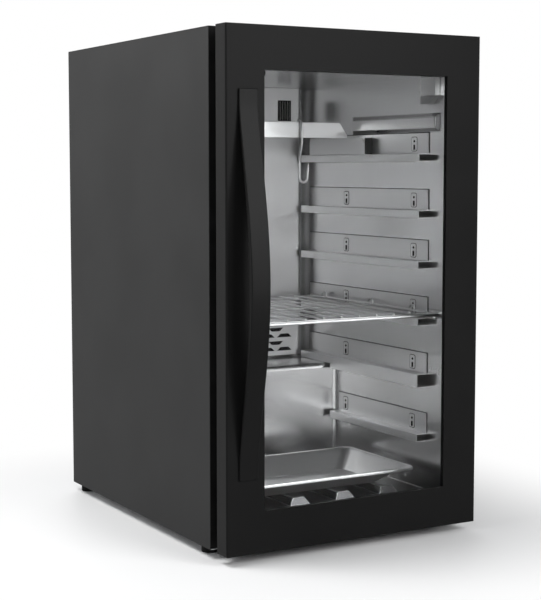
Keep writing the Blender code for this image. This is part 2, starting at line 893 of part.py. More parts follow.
def grille_slot(x, z, pointing):
    """Half a hexagon: its narrow side up for pointing 1, down for -1, and cut at the grille's edge."""
    most = DUCT_HALF - GRILLE_MARGIN
    wide, narrow = GRILLE_WIDE / 2, GRILLE_NARROW / 2
    low, high = (wide, narrow) if pointing > 0 else (narrow, wide)
    shape = [(x - low, z), (x + low, z), (x + high, z + GRILLE_SLOT), (x - high, z + GRILLE_SLOT)]
    return [(max(-most, min(most, u)), v) for u, v in shape]


def duct_openings():
    """The outlines cut through the duct's cover: side vents, the low grille and the fan's grille."""
    outlines = []
    vent_top = CEILING - VENT_DROP
    for index in range(VENT_COUNT):
        outer = DUCT_HALF - VENT_INSET - index * VENT_PITCH
        slit = rectangle((outer - VENT_WIDTH, outer), (vent_top - VENT_HEIGHT, vent_top))
        outlines += [slit, mirrored(slit)]
    group = 2 * GRILLE_SLOT + GRILLE_WEB + GRILLE_GROUP_GAP
    fits = DUCT_HALF - GRILLE_MARGIN
    for row in range(2):
        low = HUMP_TOP + GRILLE_RISE + row * group
        for pointing, shift in ((1, 0), (-1, 0.5)):
            z = low if pointing > 0 else low + GRILLE_SLOT + GRILLE_WEB
            count = int(fits / GRILLE_PITCH) + 1
            for index in range(-count - 1, count + 1):
                x = (index + shift) * GRILLE_PITCH
                if abs(x) < fits:
                    outlines.append(grille_slot(x, z, pointing))
    fan_z = HUMP_TOP + FAN_RISE
    middle = (FAN_GRILLE_ROWS - 1) / 2
    for index in range(FAN_GRILLE_ROWS):
        rise = (index - middle) * FAN_GRILLE_PITCH
        half = math.sqrt(max(FAN_BORE**2 - rise**2, (FAN_BORE / 4) ** 2)) - FAN_GRILLE_SLOT
        z = fan_z + rise
        outlines.append(rectangle((-half, half), (z - FAN_GRILLE_SLOT / 2, z + FAN_GRILLE_SLOT / 2)))
    return outlines


def duct_cover():
    """A sheet bent back at both sides, which stands off the back wall."""
    back = CAVITY_BACK - CLEAR
    outer = [(-DUCT_HALF, back)]
    outer += arc((-DUCT_HALF + DUCT_BEND, DUCT_FRONT + DUCT_BEND), DUCT_BEND, 180, 270)
    outer += arc((DUCT_HALF - DUCT_BEND, DUCT_FRONT + DUCT_BEND), DUCT_BEND, 270, 360)
    outer += [(DUCT_HALF, back)]
    inner_half, inner_bend = DUCT_HALF - DUCT_SHEET, DUCT_BEND - DUCT_SHEET
    inner = [(inner_half, back)]
    inner += arc((DUCT_HALF - DUCT_BEND, DUCT_FRONT + DUCT_BEND), inner_bend, 360, 270)
    inner += arc((-DUCT_HALF + DUCT_BEND, DUCT_FRONT + DUCT_BEND), inner_bend, 270, 180)
    inner += [(-inner_half, back)]
    cover = prism("air_duct_cover", [outer + inner], "Z", HUMP_TOP + DUCT_RISE, CEILING - CLEAR)
    past = DUCT_FRONT + DUCT_SHEET + OVERRUN / 2
    holes = prism("duct openings", duct_openings(), "Y", DUCT_FRONT - OVERRUN, past)
    stainless(cut(cover, holes))


def fan_housing(fan_z, front):
    """The square housing, with its motor on spokes at the back and the motor's shaft forward."""
    half = FAN_SIZE / 2
    square = rounded((-half, half), (fan_z - half, fan_z + half), FAN_SPOKE)
    ring = prism(
        "fan_housing", [square, circle((0, fan_z), FAN_BORE, ROUND_SIDES)], "Y", front, front + FAN_DEPTH
    )
    back = front + FAN_DEPTH
    spokes = []
    for index in range(FAN_SPOKES):
        spoke = block(
            f"fan spoke {index + 1}",
            (0, FAN_BORE + JOIN),
            (back - FAN_SPOKE_DEPTH, back),
            (-FAN_SPOKE / 2, FAN_SPOKE / 2),
        )
        turn = Matrix.Rotation(math.tau * index / FAN_SPOKES, 4, "Y")
        spoke.data.transform(Matrix.Translation((0, 0, fan_z)) @ turn)
        spokes.append(spoke)
    depth = (front + FAN_HUB_DEPTH + RUN, back - FAN_SPOKE_DEPTH / 2)
    motor = rod("fan motor", "Y", (0, fan_z), FAN_HUB, *depth, ROUND_SIDES)
    shaft = rod("fan shaft", "Y", (0, fan_z), FAN_SHAFT, front + JOIN, back - FAN_SPOKE_DEPTH)
    black_plastic(unite(ring, *spokes, motor, shaft))


def fan_blades(fan_z, front):
    """The hub and its pitched blades, which turn on the motor's shaft."""
    hub = turned(
        "fan_blades",
        [
            (FAN_HUB - JOIN, FAN_HUB_DEPTH),
            (FAN_HUB, FAN_HUB_DEPTH - JOIN),
            (FAN_HUB, JOIN),
            (FAN_SHAFT + CLEAR, JOIN),
            (FAN_SHAFT + CLEAR, FAN_HUB_DEPTH),
        ],
        "Y",
        (0, front, fan_z),
        closed=True,
    )
    blades = []
    lean = math.radians(FAN_BLADE_PITCH)
    middle = front + FAN_HUB_DEPTH / 2
    for index in range(FAN_BLADES):
        blade = block(
            f"fan blade {index + 1}",
            (FAN_HUB - JOIN, FAN_BORE - FAN_TIP_GAP),
            (-FAN_BLADE_SHEET / 2, FAN_BLADE_SHEET / 2),
            (-FAN_BLADE_CHORD / 2, FAN_BLADE_CHORD / 2),
        )
        turn = Matrix.Rotation(math.tau * index / FAN_BLADES, 4, "Y") @ Matrix.Rotation(lean, 4, "X")
        blade.data.transform(Matrix.Translation((0, middle, fan_z)) @ turn)
        blades.append(blade)
    tools = [origin_at(blade, (0, middle, fan_z)) for blade in blades]
    black_plastic(unite(origin_at(hub, (0, middle, fan_z)), *tools))


def evaporator():
    """A plate with upright fins, fixed to the back wall inside the duct."""
    half = DUCT_HALF - EVAPORATOR_SIDE_GAP
    back = CAVITY_BACK - CLEAR
    plate = back - EVAPORATOR_PLATE
    pitch = (2 * half - EVAPORATOR_FIN) / (EVAPORATOR_FINS - 1)
    comb = [(half, back), (-half, back)]
    for index in range(EVAPORATOR_FINS):
        left = -half + index * pitch
        right = left + EVAPORATOR_FIN
        tip = plate - EVAPORATOR_FIN_DEPTH
        comb += [(left, plate), (left, tip), (right, tip), (right, plate)]
    low = HUMP_TOP + EVAPORATOR_RISE
    aluminium(prism("evaporator", [comb], "Z", low, low + EVAPORATOR_HEIGHT))


def hanger_bracket(name, side):
    """A bent sheet that stands on the top rail's ledge and carries an end of the bar."""
    wall = INNER_HALF - CLEAR - RAIL_SHEET - CLEAR
    front, back = BODY_FRONT + BRACKET_SETBACK, DUCT_FRONT - BRACKET_BACK_GAP
    face = wall - BRACKET_REACH
    outline = [
        (wall, front),
        (wall, front + BRACKET_SHEET),
        (face + BRACKET_SHEET, front + BRACKET_SHEET),
        (face + BRACKET_SHEET, back - BRACKET_SHEET),
        (wall, back - BRACKET_SHEET),
        (wall, back),
        (face, back),
        (face, front),
    ]
    outline = outline if side > 0 else mirrored(outline)
    sheet = prism(name, [outline], "Z", ledge_top(1) + CLEAR, BRACKET_TOP)
    corner = [
        (front - OVERRUN, BRACKET_TOP + OVERRUN),
        (front - OVERRUN, BRACKET_TOP - BRACKET_CHAMFER - OVERRUN),
        (front + BRACKET_CHAMFER + OVERRUN, BRACKET_TOP + OVERRUN),
    ]
    chamfer = prism(f"{name} chamfer", [corner], "X", *on_side(side, (face - OVERRUN, wall + OVERRUN)))
    stainless(cut(sheet, chamfer))


def hanging_bar():
    """An upside-down channel across the cold space, with its ends cut off at an angle."""
    half = INNER_HALF - BAR_END_GAP
    front, back = BAR_MIDDLE - BAR_DEPTH / 2, BAR_MIDDLE + BAR_DEPTH / 2
    channel = [
        (front, BAR_BOTTOM),
        (front + BAR_SHEET, BAR_BOTTOM),
        (front + BAR_SHEET, BAR_TOP - BAR_SHEET),
        (back - BAR_SHEET, BAR_TOP - BAR_SHEET),
        (back - BAR_SHEET, BAR_BOTTOM),
        (back, BAR_BOTTOM),
        (back, BAR_TOP),
        (front, BAR_TOP),
    ]
    bar = prism("hanging_bar", [channel], "X", -half, half)
    ends = []
    for side in (-1, 1):
        corner = [
            (half + BAR_CHAMFER_WIDTH, BAR_TOP - 2 * BAR_CHAMFER_HEIGHT),
            (half + BAR_CHAMFER_WIDTH, BAR_TOP + BAR_CHAMFER_HEIGHT),
            (half - 2 * BAR_CHAMFER_WIDTH, BAR_TOP + BAR_CHAMFER_HEIGHT),
        ]
        corner = corner if side > 0 else mirrored(corner)
        ends.append(prism(f"bar end {side}", [corner], "Y", front - OVERRUN, back + OVERRUN))
    stainless(cut(bar, *ends))


def hook_points():
    """The hook's line: over the bar, down in front of it, back under it and round to a tip."""
    loop = BAR_DEPTH / 2 + HOOK_ROOM + HOOK_WIRE
    seat = math.sqrt((loop - HOOK_WIRE - CLEAR) ** 2 - (BAR_DEPTH / 2) ** 2)
    centre = BAR_TOP - seat
    low = BAR_TOP + (loop - seat) + HOOK_WIRE - HOOK_LENGTH + HOOK_WIRE + HOOK_BEND
    points = [(HOOK_PLACE, BAR_MIDDLE + loop, centre - HOOK_TAIL)]
    points += [(HOOK_PLACE, BAR_MIDDLE + y, centre + z) for y, z in arc((0, 0), loop, 0, 180, 10)]
    start, end = BAR_BOTTOM - HOOK_WIRE, min(BAR_BOTTOM - HOOK_SWEEP, low + HOOK_SWEEP)
    end = max(end, low)
    steps = 6
    for step in range(steps + 1):
        share = step / steps
        ease = share * share * (3 - 2 * share)
        points.append((HOOK_PLACE, BAR_MIDDLE - loop * (1 - ease), start + (end - start) * share))
    points += [
        (HOOK_PLACE + HOOK_BEND + x, BAR_MIDDLE, low + z) for x, z in arc((0, 0), HOOK_BEND, 180, 360, 10)
    ]
    points.append((HOOK_PLACE + 2 * HOOK_BEND + HOOK_WIRE, BAR_MIDDLE, low + HOOK_TIP))
    return points


def hook():
    wire = tube("hanging_hook", hook_points(), HOOK_WIRE, 2)
    origin_at(stainless(wire), (HOOK_PLACE, BAR_MIDDLE, BAR_TOP))


def wire_shelf():
    """Two side wires on the ledges, cross wires on them, and rods from front to back on top."""
    level = ledge_top(SHELF_LEVEL) + CLEAR + SIDE_WIRE
    cross = level + SIDE_WIRE + CROSS_WIRE - SHELF_WELD
    top = cross + CROSS_WIRE + ROD_WIRE - SHELF_WELD
    front = BODY_FRONT + SHELF_SETBACK
    back = DUCT_FRONT - SHELF_BACK_GAP
    half = INNER_HALF - CLEAR - RAIL_SHEET - SHELF_SIDE_GAP
    side = INNER_HALF - CLEAR - LEDGE_REACH / 2
    rods = (front + ROD_SETBACK, back - ROD_SETBACK)
    crossings = (front, rods[0], (front + back) / 2, rods[1], back)
    wires = []
    for index, y in enumerate(crossings):
        wires.append(tube(f"cross wire {index + 1}", [(-half, y, cross), (half, y, cross)], CROSS_WIRE))
    y = (front, back)
    first = tube("wire_shelf", [(-side, y[0], level), (-side, y[1], level)], SIDE_WIRE)
    wires.append(tube("side wire", [(side, y[0], level), (side, y[1], level)], SIDE_WIRE))
    middle = (ROD_COUNT - 1) / 2
    pitch = (INNER_HALF - ROD_SIDE_GAP) / middle
    for index in range(ROD_COUNT):
        x = (index - middle) * pitch
        ends = [(x, rods[0] - ROD_OVERHANG, top), (x, rods[1] + ROD_OVERHANG, top)]
        wires.append(tube(f"rod {index + 1}", ends, ROD_WIRE))
    for share in STOP_SHARES:
        y = front + (back - front) * share
        for x in (-side, side):
            low, high, bend = level, level + STOP_HEIGHT - STOP_WIDTH / 2, STOP_WIDTH / 2
            points = [(x, y - bend, low)]
            points += [(x, y + u, high + v) for u, v in arc((0, 0), bend, 180, 0, 6)]
            points += [(x, y + bend, low)]
            wires.append(tube(f"stop {share} {x > 0}", points, STOP_WIRE))
    origin_at(stainless(first), (0, front, level))
    for wire in wires:
        origin_at(wire, (0, front, level))
    unite(first, *wires)


def tray_ring(half, y, z, radius):
    return [(u, v, z) for u, v in rounded((-half, half), y, radius)]


def drip_tray():
    """A pressed tray with a flat rim and sloping walls, which stands on the floor ribs."""
    front = BODY_FRONT + TRAY_SETBACK
    y = (front, HUMP_FRONT - TRAY_HUMP_GAP)
    under = FLOOR + RIB_RISE + CLEAR
    floor, rim = under + TRAY_SHEET, under + TRAY_HEIGHT
    half, foot = INNER_HALF - TRAY_SIDE_GAP, TRAY_RIM + TRAY_SLOPE
    rings = [
        tray_ring(half, y, rim - TRAY_LIP, TRAY_CORNER),
        tray_ring(half, y, rim, TRAY_CORNER),
        tray_ring(half - TRAY_RIM, inset(y, TRAY_RIM), rim, TRAY_CORNER),
        tray_ring(half - foot, inset(y, foot), floor, TRAY_CORNER * 0.75),
    ]
    tray = pan("drip_tray", rings, TRAY_SHEET)
    origin_at(stainless(tray), (0, front, under))


def lamp():
    """The lamp in the upper right corner: a steel housing over a clear lens with one corner cut off."""
    wall = INNER_HALF - CLEAR
    front = BODY_FRONT + LAMP_SETBACK
    y = (front, front + LAMP_WIDTH)
    top = CEILING - CLEAR
    split = SHOULDER_TOP + LAMP_GAP + LENS_HEIGHT + CLEAR
    spans = (wall - LAMP_THICKNESS, wall)
    housing = prism("lamp_housing", [rectangle(y, (split, top))], "X", *spans)
    galvanised(soften(housing, CLEAR * 2, 1))
    low = split - CLEAR - LENS_HEIGHT
    outline = [
        (y[0] + LAMP_CUT, low),
        (y[1], low),
        (y[1], split - CLEAR),
        (y[0], split - CLEAR),
        (y[0], split - CLEAR - CLEAR),
    ]
    finish(prism("lamp_lens", [outline], "X", *spans), (0.7, 0.72, 0.74), 0.3, 0, clear=0.6)


def small_fittings():
    """The touch panel under the ceiling at the left, and the air sensor's cover on the left wall."""
    left = -INNER_HALF + PANEL_SIDE_GAP
    front = BODY_FRONT + PANEL_SETBACK
    panel = block(
        "control_panel",
        (left, left + PANEL_SPAN),
        (front, front + PANEL_DEPTH),
        (CEILING - CLEAR - PANEL_HEIGHT, CEILING - CLEAR),
    )
    black_plastic(soften(panel, PANEL_EDGE))
    wall = -INNER_HALF + CLEAR
    z = (ledge_top(2) + RAIL_PLATE + ledge_top(1) - LEDGE_HEIGHT) / 2
    profile = [
        (0, SENSOR_REACH),
        (SENSOR_RADIUS * 0.6, SENSOR_REACH),
        (SENSOR_RADIUS * 0.8, SENSOR_REACH * 0.8),
        (SENSOR_RADIUS, 0),
        (0, 0),
    ]
    cover = turned("sensor_cover", profile, "X", (wall, CAVITY_BACK - SENSOR_BACK_GAP, z))
    finish(cover, (0.75, 0.75, 0.74), 0.5, 0)


# The machine room and the rear


def machine_cover(gland, coil_holes):
    """The vented sheet that closes the machine room at the back, with a roof to the back panel."""
    outline = [
        (REAR_PLANE + CLEAR, MACHINE_TOP),
        (REAR_PLANE + CLEAR, MACHINE_TOP - COVER_SHEET),
        (COVER_BACK - COVER_SHEET, MACHINE_TOP - COVER_SHEET),
        (COVER_BACK - COVER_SHEET, BASE_TOP + CLEAR),
        (COVER_BACK, BASE_TOP + CLEAR),
        (COVER_BACK, MACHINE_TOP),
    ]
    cover = prism("machine_cover", [outline], "X", -CASE_INNER, CASE_INNER)
    slots = []
    middle = (COVER_SLOTS - 1) / 2
    pitch = (CASE_INNER - COVER_SLOT_SIDE_GAP) / middle
    start = BASE_TOP + COVER_SLOT_RISE
    height = (MACHINE_TOP - COVER_SLOT_DROP - start - COVER_SLOT_GAP) / 2
    for row in range(2):
        low = start + row * (height + COVER_SLOT_GAP)
        for index in range(COVER_SLOTS):
            x = (index - middle) * pitch
            half = COVER_SLOT_WIDTH / 2
            slots.append(rounded((x - half, x + half), (low, low + height), half, 2))
    vents = prism("cover vents", slots, "Y", COVER_BACK - OVERRUN, COVER_BACK + OVERRUN)
    black_steel(cut(cover, vents, gland, *coil_holes))


def power_gland():
    """The gland where the mains lead enters, and the hole that it needs in the cover."""
    place = (GLAND_SIDE_GAP - CASE_INNER, COVER_BACK, BASE_TOP + GLAND_RISE)
    profile = [
        (GLAND_BORE, GLAND_FLANGE_DEPTH + CLEAR),
        (GLAND_FLANGE, GLAND_FLANGE_DEPTH + CLEAR),
        (GLAND_FLANGE, CLEAR),
        (GLAND_RADIUS, CLEAR),
        (GLAND_RADIUS, -GLAND_LENGTH),
        (GLAND_BORE, -GLAND_LENGTH),
    ]
    black_plastic(turned("power_gland", profile, "Y", place, closed=True))
    return rod(
        "gland hole",
        "Y",
        (place[0], place[2]),
        GLAND_RADIUS + CLEAR,
        COVER_BACK - OVERRUN,
        COVER_BACK + OVERRUN,
        ROUND_SIDES,
    )


def compressor():
    """The sealed compressor on a plate with four rubber-like feet."""
    back = REAR_PLANE
    y = back - COMPRESSOR_RADIUS - COMPRESSOR_CLEARANCE / 4
    place = Vector((COMPRESSOR_X, y, BASE_TOP + CLEAR + GROMMET_HEIGHT + MOUNT_SHEET + CLEAR))
    radius, height = COMPRESSOR_RADIUS, COMPRESSOR_HEIGHT
    profile = [(0, height)]
    dome = ((0.35, 0.985), (0.65, 0.93), (0.88, 0.82))
    profile += [(radius * share, height * rise) for share, rise in dome]
    profile += [
        (radius - COMPRESSOR_SEAM, height * 0.62),
        (radius, height * 0.60),
        (radius, height * 0.56),
        (radius - COMPRESSOR_SEAM, height * 0.54),
        (radius * 0.9, height * 0.16),
        (radius * 0.7, 0),
        (0, 0),
    ]
    black_steel(turned("compressor", profile, "Z", place))
    half_x, half_y = MOUNT_HALF_WIDTH, MOUNT_HALF_DEPTH
    sheet = rounded((place.x - half_x, place.x + half_x), (y - half_y, y + half_y), MOUNT_CORNER)
    low = BASE_TOP + CLEAR + GROMMET_HEIGHT
    mount = prism("compressor_mount", [sheet], "Z", low, low + MOUNT_SHEET)
    feet = []
    post = (BASE_TOP + CLEAR, low + MOUNT_SHEET / 2)
    for index, (u, v) in enumerate(((-1, -1), (1, -1), (1, 1), (-1, 1))):
        corner = (place.x + u * (half_x - GROMMET_INSET), y + v * (half_y - GROMMET_INSET))
        feet.append(rod(f"grommet {index + 1}", "Z", corner, GROMMET_RADIUS, *post))
    galvanised(unite(mount, *feet))
    return place


def evaporation_tray():
    """The pan on the base where melt water evaporates, and the tube that drains the duct into it."""
    y = CAVITY_BACK - DUCT_DEPTH / 2
    low = BASE_TOP + CLEAR + PAN_SHEET
    rim = low + PAN_HEIGHT - PAN_SHEET
    spans = (PAN_SPAN, (y - PAN_DEPTH / 2, y + PAN_DEPTH / 2))
    rings = []
    for by, z, radius in ((0, rim, PAN_CORNER), (PAN_SLOPE, low, PAN_CORNER - PAN_SLOPE / 2)):
        outline = rounded(inset(spans[0], by), inset(spans[1], by), radius)
        rings.append([(u, v, z) for u, v in outline])
    black_plastic(pan("evaporation_tray", rings, PAN_SHEET))
    bore = DRAIN_RADIUS - DRAIN_WALL
    top, end = HUMP_TOP, rim + DRAIN_END_GAP
    profile = [(bore, top), (DRAIN_RADIUS, top), (DRAIN_RADIUS, end), (bore, end)]
    tube_piece = turned("drain_tube", profile, "Z", (DRAIN_X, y, 0), closed=True, sides=SMALL_SIDES)
    finish(tube_piece, (0.6, 0.6, 0.58), 0.4, 0)


def condenser(compressor_place):
    """The condenser's tube, in runs across the rear recess, with both ends down in the machine room."""
    y = REAR_PLANE + COIL_STANDOFF
    low = MACHINE_TOP + COIL_RISE
    pitch = (ROOF - COIL_DROP - low) / (COIL_RUNS - 1)
    half, bend = HALF - COIL_SIDE_GAP, min(COIL_BEND, pitch / 2)
    rise = COIL_RETURN_GAP - HALF
    end_z = compressor_place.z + COMPRESSOR_HEIGHT * 0.58
    touch = compressor_place.y + COMPRESSOR_RADIUS + CLEAR
    down = compressor_place.x
    path = [(down, touch, end_z)]
    path += [(down, y - bend + u, end_z + bend + v) for u, v in arc((0, 0), bend, -90, 0)]
    path += [(down - bend + u, y, low - bend + v) for u, v in arc((0, 0), bend, 0, 90)]
    for run in range(COIL_RUNS):
        side = -1 if run % 2 == 0 else 1
        z = low + run * pitch
        if run == COIL_RUNS - 1:
            break
        path += [(side * (half + u), y, z + bend + v) for u, v in arc((0, 0), bend, -90, 0)]
        path += [(side * (half + u), y, z + pitch - bend + v) for u, v in arc((0, 0), bend, 0, 90)]
    top = low + (COIL_RUNS - 1) * pitch
    path += [(rise + bend + u, y, top - bend + v) for u, v in arc((0, 0), bend, 90, 180)]
    path += [(rise, y, MACHINE_TOP - OVERRUN)]
    black_steel(tube("condenser_coil", path, COIL_TUBE, 1))
    through = (MACHINE_TOP - OVERRUN, MACHINE_TOP + OVERRUN)
    return [
        rod(f"coil hole {name}", "Z", (x, y), COIL_TUBE + CLEAR, *through)
        for name, x in (("right", down), ("left", rise))
    ]


# The hinges on the body, and the door


def hinge(name, plate, pin_direction):
    """A flat arm from the body to the door, with the pin on its end."""
    y = (HINGE_SETBACK, BODY_FRONT + HINGE_REACH)
    u = (HINGE_X - HINGE_HALF_WIDTH, HINGE_X + HINGE_HALF_WIDTH)
    outline = [(u[0], y[1]), *arc((HINGE_X, y[0]), HINGE_HALF_WIDTH, 180, 360, 8), (u[1], y[1])]
    arm = prism(name, [outline], "Z", *plate)
    if pin_direction < 0:
        pin = (plate[0] - BUSH_LENGTH, plate[1] - HINGE_SHEET / 2)
    else:
        pin = (plate[0] + HINGE_SHEET / 2, plate[1] + BUSH_LENGTH)
    pin_piece = rod(f"{name} pin", "Z", (HINGE_X, HINGE_SETBACK), PIN_RADIUS, *pin, ROUND_SIDES)
    galvanised(unite(arm, pin_piece))


def hinges():
    top = (ROOF - HINGE_SHEET, ROOF)
    bottom = (BASE_TOP + CLEAR, BASE_TOP + CLEAR + HINGE_SHEET)
    hinge("top_hinge", top, -1)
    hinge("bottom_hinge", bottom, 1)
    return top[0], bottom[1]


def door_outline(by):
    """The door's outline, drawn in by a border."""
    return rectangle(inset((-HALF, HALF), by), inset((FOOT_HEIGHT, HEIGHT), by))


def pane(by):
    """The outline of the rebate that the glass lies in, drawn in by a border."""
    x = (-HALF + PANE_SIDE, HALF - PANE_SIDE)
    return rectangle(inset(x, by), inset((FOOT_HEIGHT + PANE_BOTTOM, HEIGHT - PANE_TOP), by))


def handle_outline():
    """The handle seen from the side: two pads on the door with a bowed strap between them."""
    low = FOOT_HEIGHT + HANDLE_RISE
    bowed = HANDLE_LENGTH - 2 * HANDLE_PAD
    shares = [step / HANDLE_STEPS for step in range(HANDLE_STEPS + 1)]
    bows = [math.sin(math.pi * share) ** BOW_POWER if 0 < share < 1 else 0 for share in shares]
    heights = [low + HANDLE_PAD + bowed * share for share in shares]
    outer = [(-HANDLE_END - (HANDLE_REACH - HANDLE_END) * bow, z) for bow, z in zip(bows, heights)]
    hollow = HANDLE_REACH - HANDLE_MIDDLE - CLEAR
    inner = [(-CLEAR - hollow * bow, z) for bow, z in zip(bows, heights)]
    high = low + HANDLE_LENGTH
    return [(-CLEAR, low), *inner, (-CLEAR, high), (-HANDLE_END, high), *reversed(outer), (-HANDLE_END, low)]


def handle():
    """The bowed strap and the two screws that hold it, with their heads sunk behind the door's lip."""
    left = -HALF + HANDLE_INSET
    x = left + HANDLE_WIDTH / 2
    strap = prism("handle", [handle_outline()], "X", left, left + HANDLE_WIDTH)
    bite = HANDLE_END - SCREW_BITE
    cutters = []
    low = FOOT_HEIGHT + HANDLE_RISE
    places = {"lower": low + HANDLE_PAD / 2, "upper": low + HANDLE_LENGTH - HANDLE_PAD / 2}
    head = DOOR_LIP - CLEAR - SCREW_HEAD_DEPTH
    hole = (bite - HANDLE_END - CLEAR, OVERRUN)
    for name, z in places.items():
        cutters.append(rod(f"handle hole {name}", "Y", (x, z), SCREW_RADIUS + CLEAR, *hole))
        profile = [
            (0, head + SCREW_HEAD_DEPTH),
            (SCREW_HEAD, head + SCREW_HEAD_DEPTH),
            (SCREW_HEAD, head),
            (SCREW_RADIUS, head),
            (SCREW_RADIUS, bite - HANDLE_END),
            (0, bite - HANDLE_END),
        ]
        galvanised(turned(f"handle_screw_{name}", profile, "Y", (x, 0, z), sides=SMALL_SIDES))
    soften(strap, HANDLE_EDGE, 2, 50)
    black_plastic(cut(strap, *cutters))
    bores = []
    through = (-OVERRUN, DOOR_LIP + OVERRUN)
    sunk = (head - CLEAR, DOOR_LIP + OVERRUN)
    for name, z in places.items():
        bores.append(rod(f"door bore {name}", "Y", (x, z), SCREW_RADIUS + CLEAR, *through))
        bores.append(rod(f"door counterbore {name}", "Y", (x, z), SCREW_HEAD + CLEAR, *sunk))
    return bores


def hinge_seats(top_plate, bottom_plate):
    """The pockets in the door that the hinge arms sweep, with the bushes that their pins turn in."""
    front = HINGE_SWEEP_ROOM
    tools = []
    bush = PIN_RADIUS + CLEAR + BUSH_WALL
    x = (HINGE_X - HINGE_HALF_WIDTH - JOIN, HALF + OVERRUN)
    y = (front, DOOR_DEPTH + OVERRUN)
    levels = {"top": (top_plate - RUN, 1), "bottom": (bottom_plate + RUN, -1)}
    for name, (face, out) in levels.items():
        end = HEIGHT + OVERRUN if out > 0 else FOOT_HEIGHT - OVERRUN
        tools.append(block(f"door pocket {name}", x, y, (min(face, end), max(face, end))))
        deep = face - out * BUSH_LENGTH
        low, high = min(face, deep), max(face, deep)
        seat = (low - CLEAR, high + OVERRUN / 2) if out > 0 else (low - OVERRUN / 2, high + CLEAR)
        pin = (HINGE_X, HINGE_SETBACK)
        tools.append(rod(f"bush seat {name}", "Z", pin, bush + CLEAR, *seat, ROUND_SIDES))
        bore = PIN_RADIUS + CLEAR
        profile = [(bore, high), (bush, high), (bush, low), (bore, low)]
        sleeve = turned(f"{name}_hinge_bush", profile, "Z", (HINGE_X, HINGE_SETBACK, 0), closed=True)
        finish(sleeve, (0.7, 0.7, 0.68), 0.4, 0)
    return tools


def door(top_plate, bottom_plate):
    """The framed glass door, drawn closed."""
    plan = [(-HALF, DOOR_DEPTH)]
    plan += arc((-HALF + DOOR_EDGE, DOOR_EDGE), DOOR_EDGE, 180, 270)
    plan += arc((HALF - DOOR_EDGE, DOOR_EDGE), DOOR_EDGE, 270, 360)
    plan += [(HALF, DOOR_DEPTH)]
    frame = prism("door_frame", [plan], "Z", FOOT_HEIGHT, HEIGHT)
    window = prism("door window", [door_outline(DOOR_BORDER)], "Y", -OVERRUN, DOOR_DEPTH + OVERRUN)
    rebate = prism("glass rebate", [pane(0)], "Y", DOOR_LIP, DOOR_DEPTH + OVERRUN)
    tools = [window, rebate, *hinge_seats(top_plate, bottom_plate), *handle()]
    black_steel(cut(frame, *tools))

    outer = DOOR_LIP + CLEAR
    clear_glass(prism("outer_glass", [pane(CLEAR)], "Y", outer, outer + GLASS_SHEET))
    spacer = outer + GLASS_SHEET + CLEAR
    band = [pane(CLEAR), pane(PANE_HELD)]
    black_plastic(prism("glass_spacer", band, "Y", spacer, spacer + GLASS_SPACE))
    inner = spacer + GLASS_SPACE + CLEAR
    clear_glass(prism("inner_glass", [pane(CLEAR)], "Y", inner, inner + GLASS_SHEET))

    held = inner + GLASS_SHEET + CLEAR
    back = DOOR_DEPTH + CLEAR
    outlines = [door_outline(DOOR_LINER_INSET), pane(PANE_HELD)]
    liner = prism("door_inner_frame", outlines, "Y", back, back + DOOR_LINER_DEPTH)
    nose = prism("door liner nose", band, "Y", held, back + DOOR_LINER_DEPTH / 2)
    black_plastic(unite(liner, nose))
    seal = back + DOOR_LINER_DEPTH + CLEAR
    bead = [mouth(GASKET_LAP + GASKET_WIDTH), mouth(GASKET_LAP)]
    finish(prism("door_gasket", bead, "Y", seal, seal + GASKET_DEPTH), (0.012, 0.012, 0.012), 0.7, 0)


def foot(name, place):
    """A levelling foot: a rubber-like pad under a threaded stud in the base pan."""
    profile = [
        (0, BASE_TOP + FOOT_STUD_REACH),
        (FOOT_STUD, BASE_TOP + FOOT_STUD_REACH),
        (FOOT_STUD, FOOT_HEIGHT - CLEAR),
        (FOOT_NECK, FOOT_HEIGHT - CLEAR),
        (FOOT_NECK, FOOT_PAD),
        (FOOT_RADIUS - FOOT_EDGE, FOOT_PAD),
        (FOOT_RADIUS, FOOT_PAD - FOOT_EDGE),
        (FOOT_RADIUS, 0),
        (0, 0),
    ]
    black_plastic(origin_at(turned(name, profile, "Z", (*place, 0)), (*place, 0)))


def build():
    middle = (BODY_BACK - HANDLE_REACH) / 2
    cabinet = empty("cabinet", (0, -middle, 0))

    casing()
    insulated_box()
    fixings = rail_fixings()
    for side in (-1, 1):
        for level in range(1, RAIL_COUNT + 1):
            rail(side, level, fixings)
    duct_cover()
    fan_z = HUMP_TOP + FAN_RISE
    fan_front = DUCT_FRONT + DUCT_SHEET + CLEAR
    fan_housing(fan_z, fan_front)
    fan_blades(fan_z, fan_front)
    evaporator()
    hanger_bracket("left_hanger_bracket", -1)
    hanger_bracket("right_hanger_bracket", 1)
    hanging_bar()
    hook()
    wire_shelf()
    drip_tray()
    lamp()
    small_fittings()
    coil_holes = condenser(compressor())
    evaporation_tray()
    machine_cover(power_gland(), coil_holes)
    for name, place in foot_places().items():
        foot(name, place)
    plates = hinges()
    gather(cabinet)

    door_pivot = empty("door_pivot", (HINGE_X, HINGE_SETBACK, 0), cabinet)
    door(*plates)
    gather(door_pivot)


build()
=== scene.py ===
# %% [markdown]
# # A dry aging cabinet, dressed for a studio picture
# The cabinet is a fridge that keeps its air cool, dry and moving: a black steel casing, a stainless cold space with
# shelf rails, and a glass door in a black frame. The solids come from a CAD model with every piece in its true place.
# This lesson gives them rounded edges, real finishes and the small parts that CAD leaves out, then lights them.
# Everything is in metres. X runs to the right of someone who faces the door, Y to the back, and Z up.

# %% Load the CAD model
import json
import math

import bmesh
import bpy
from mathutils import Matrix, Vector


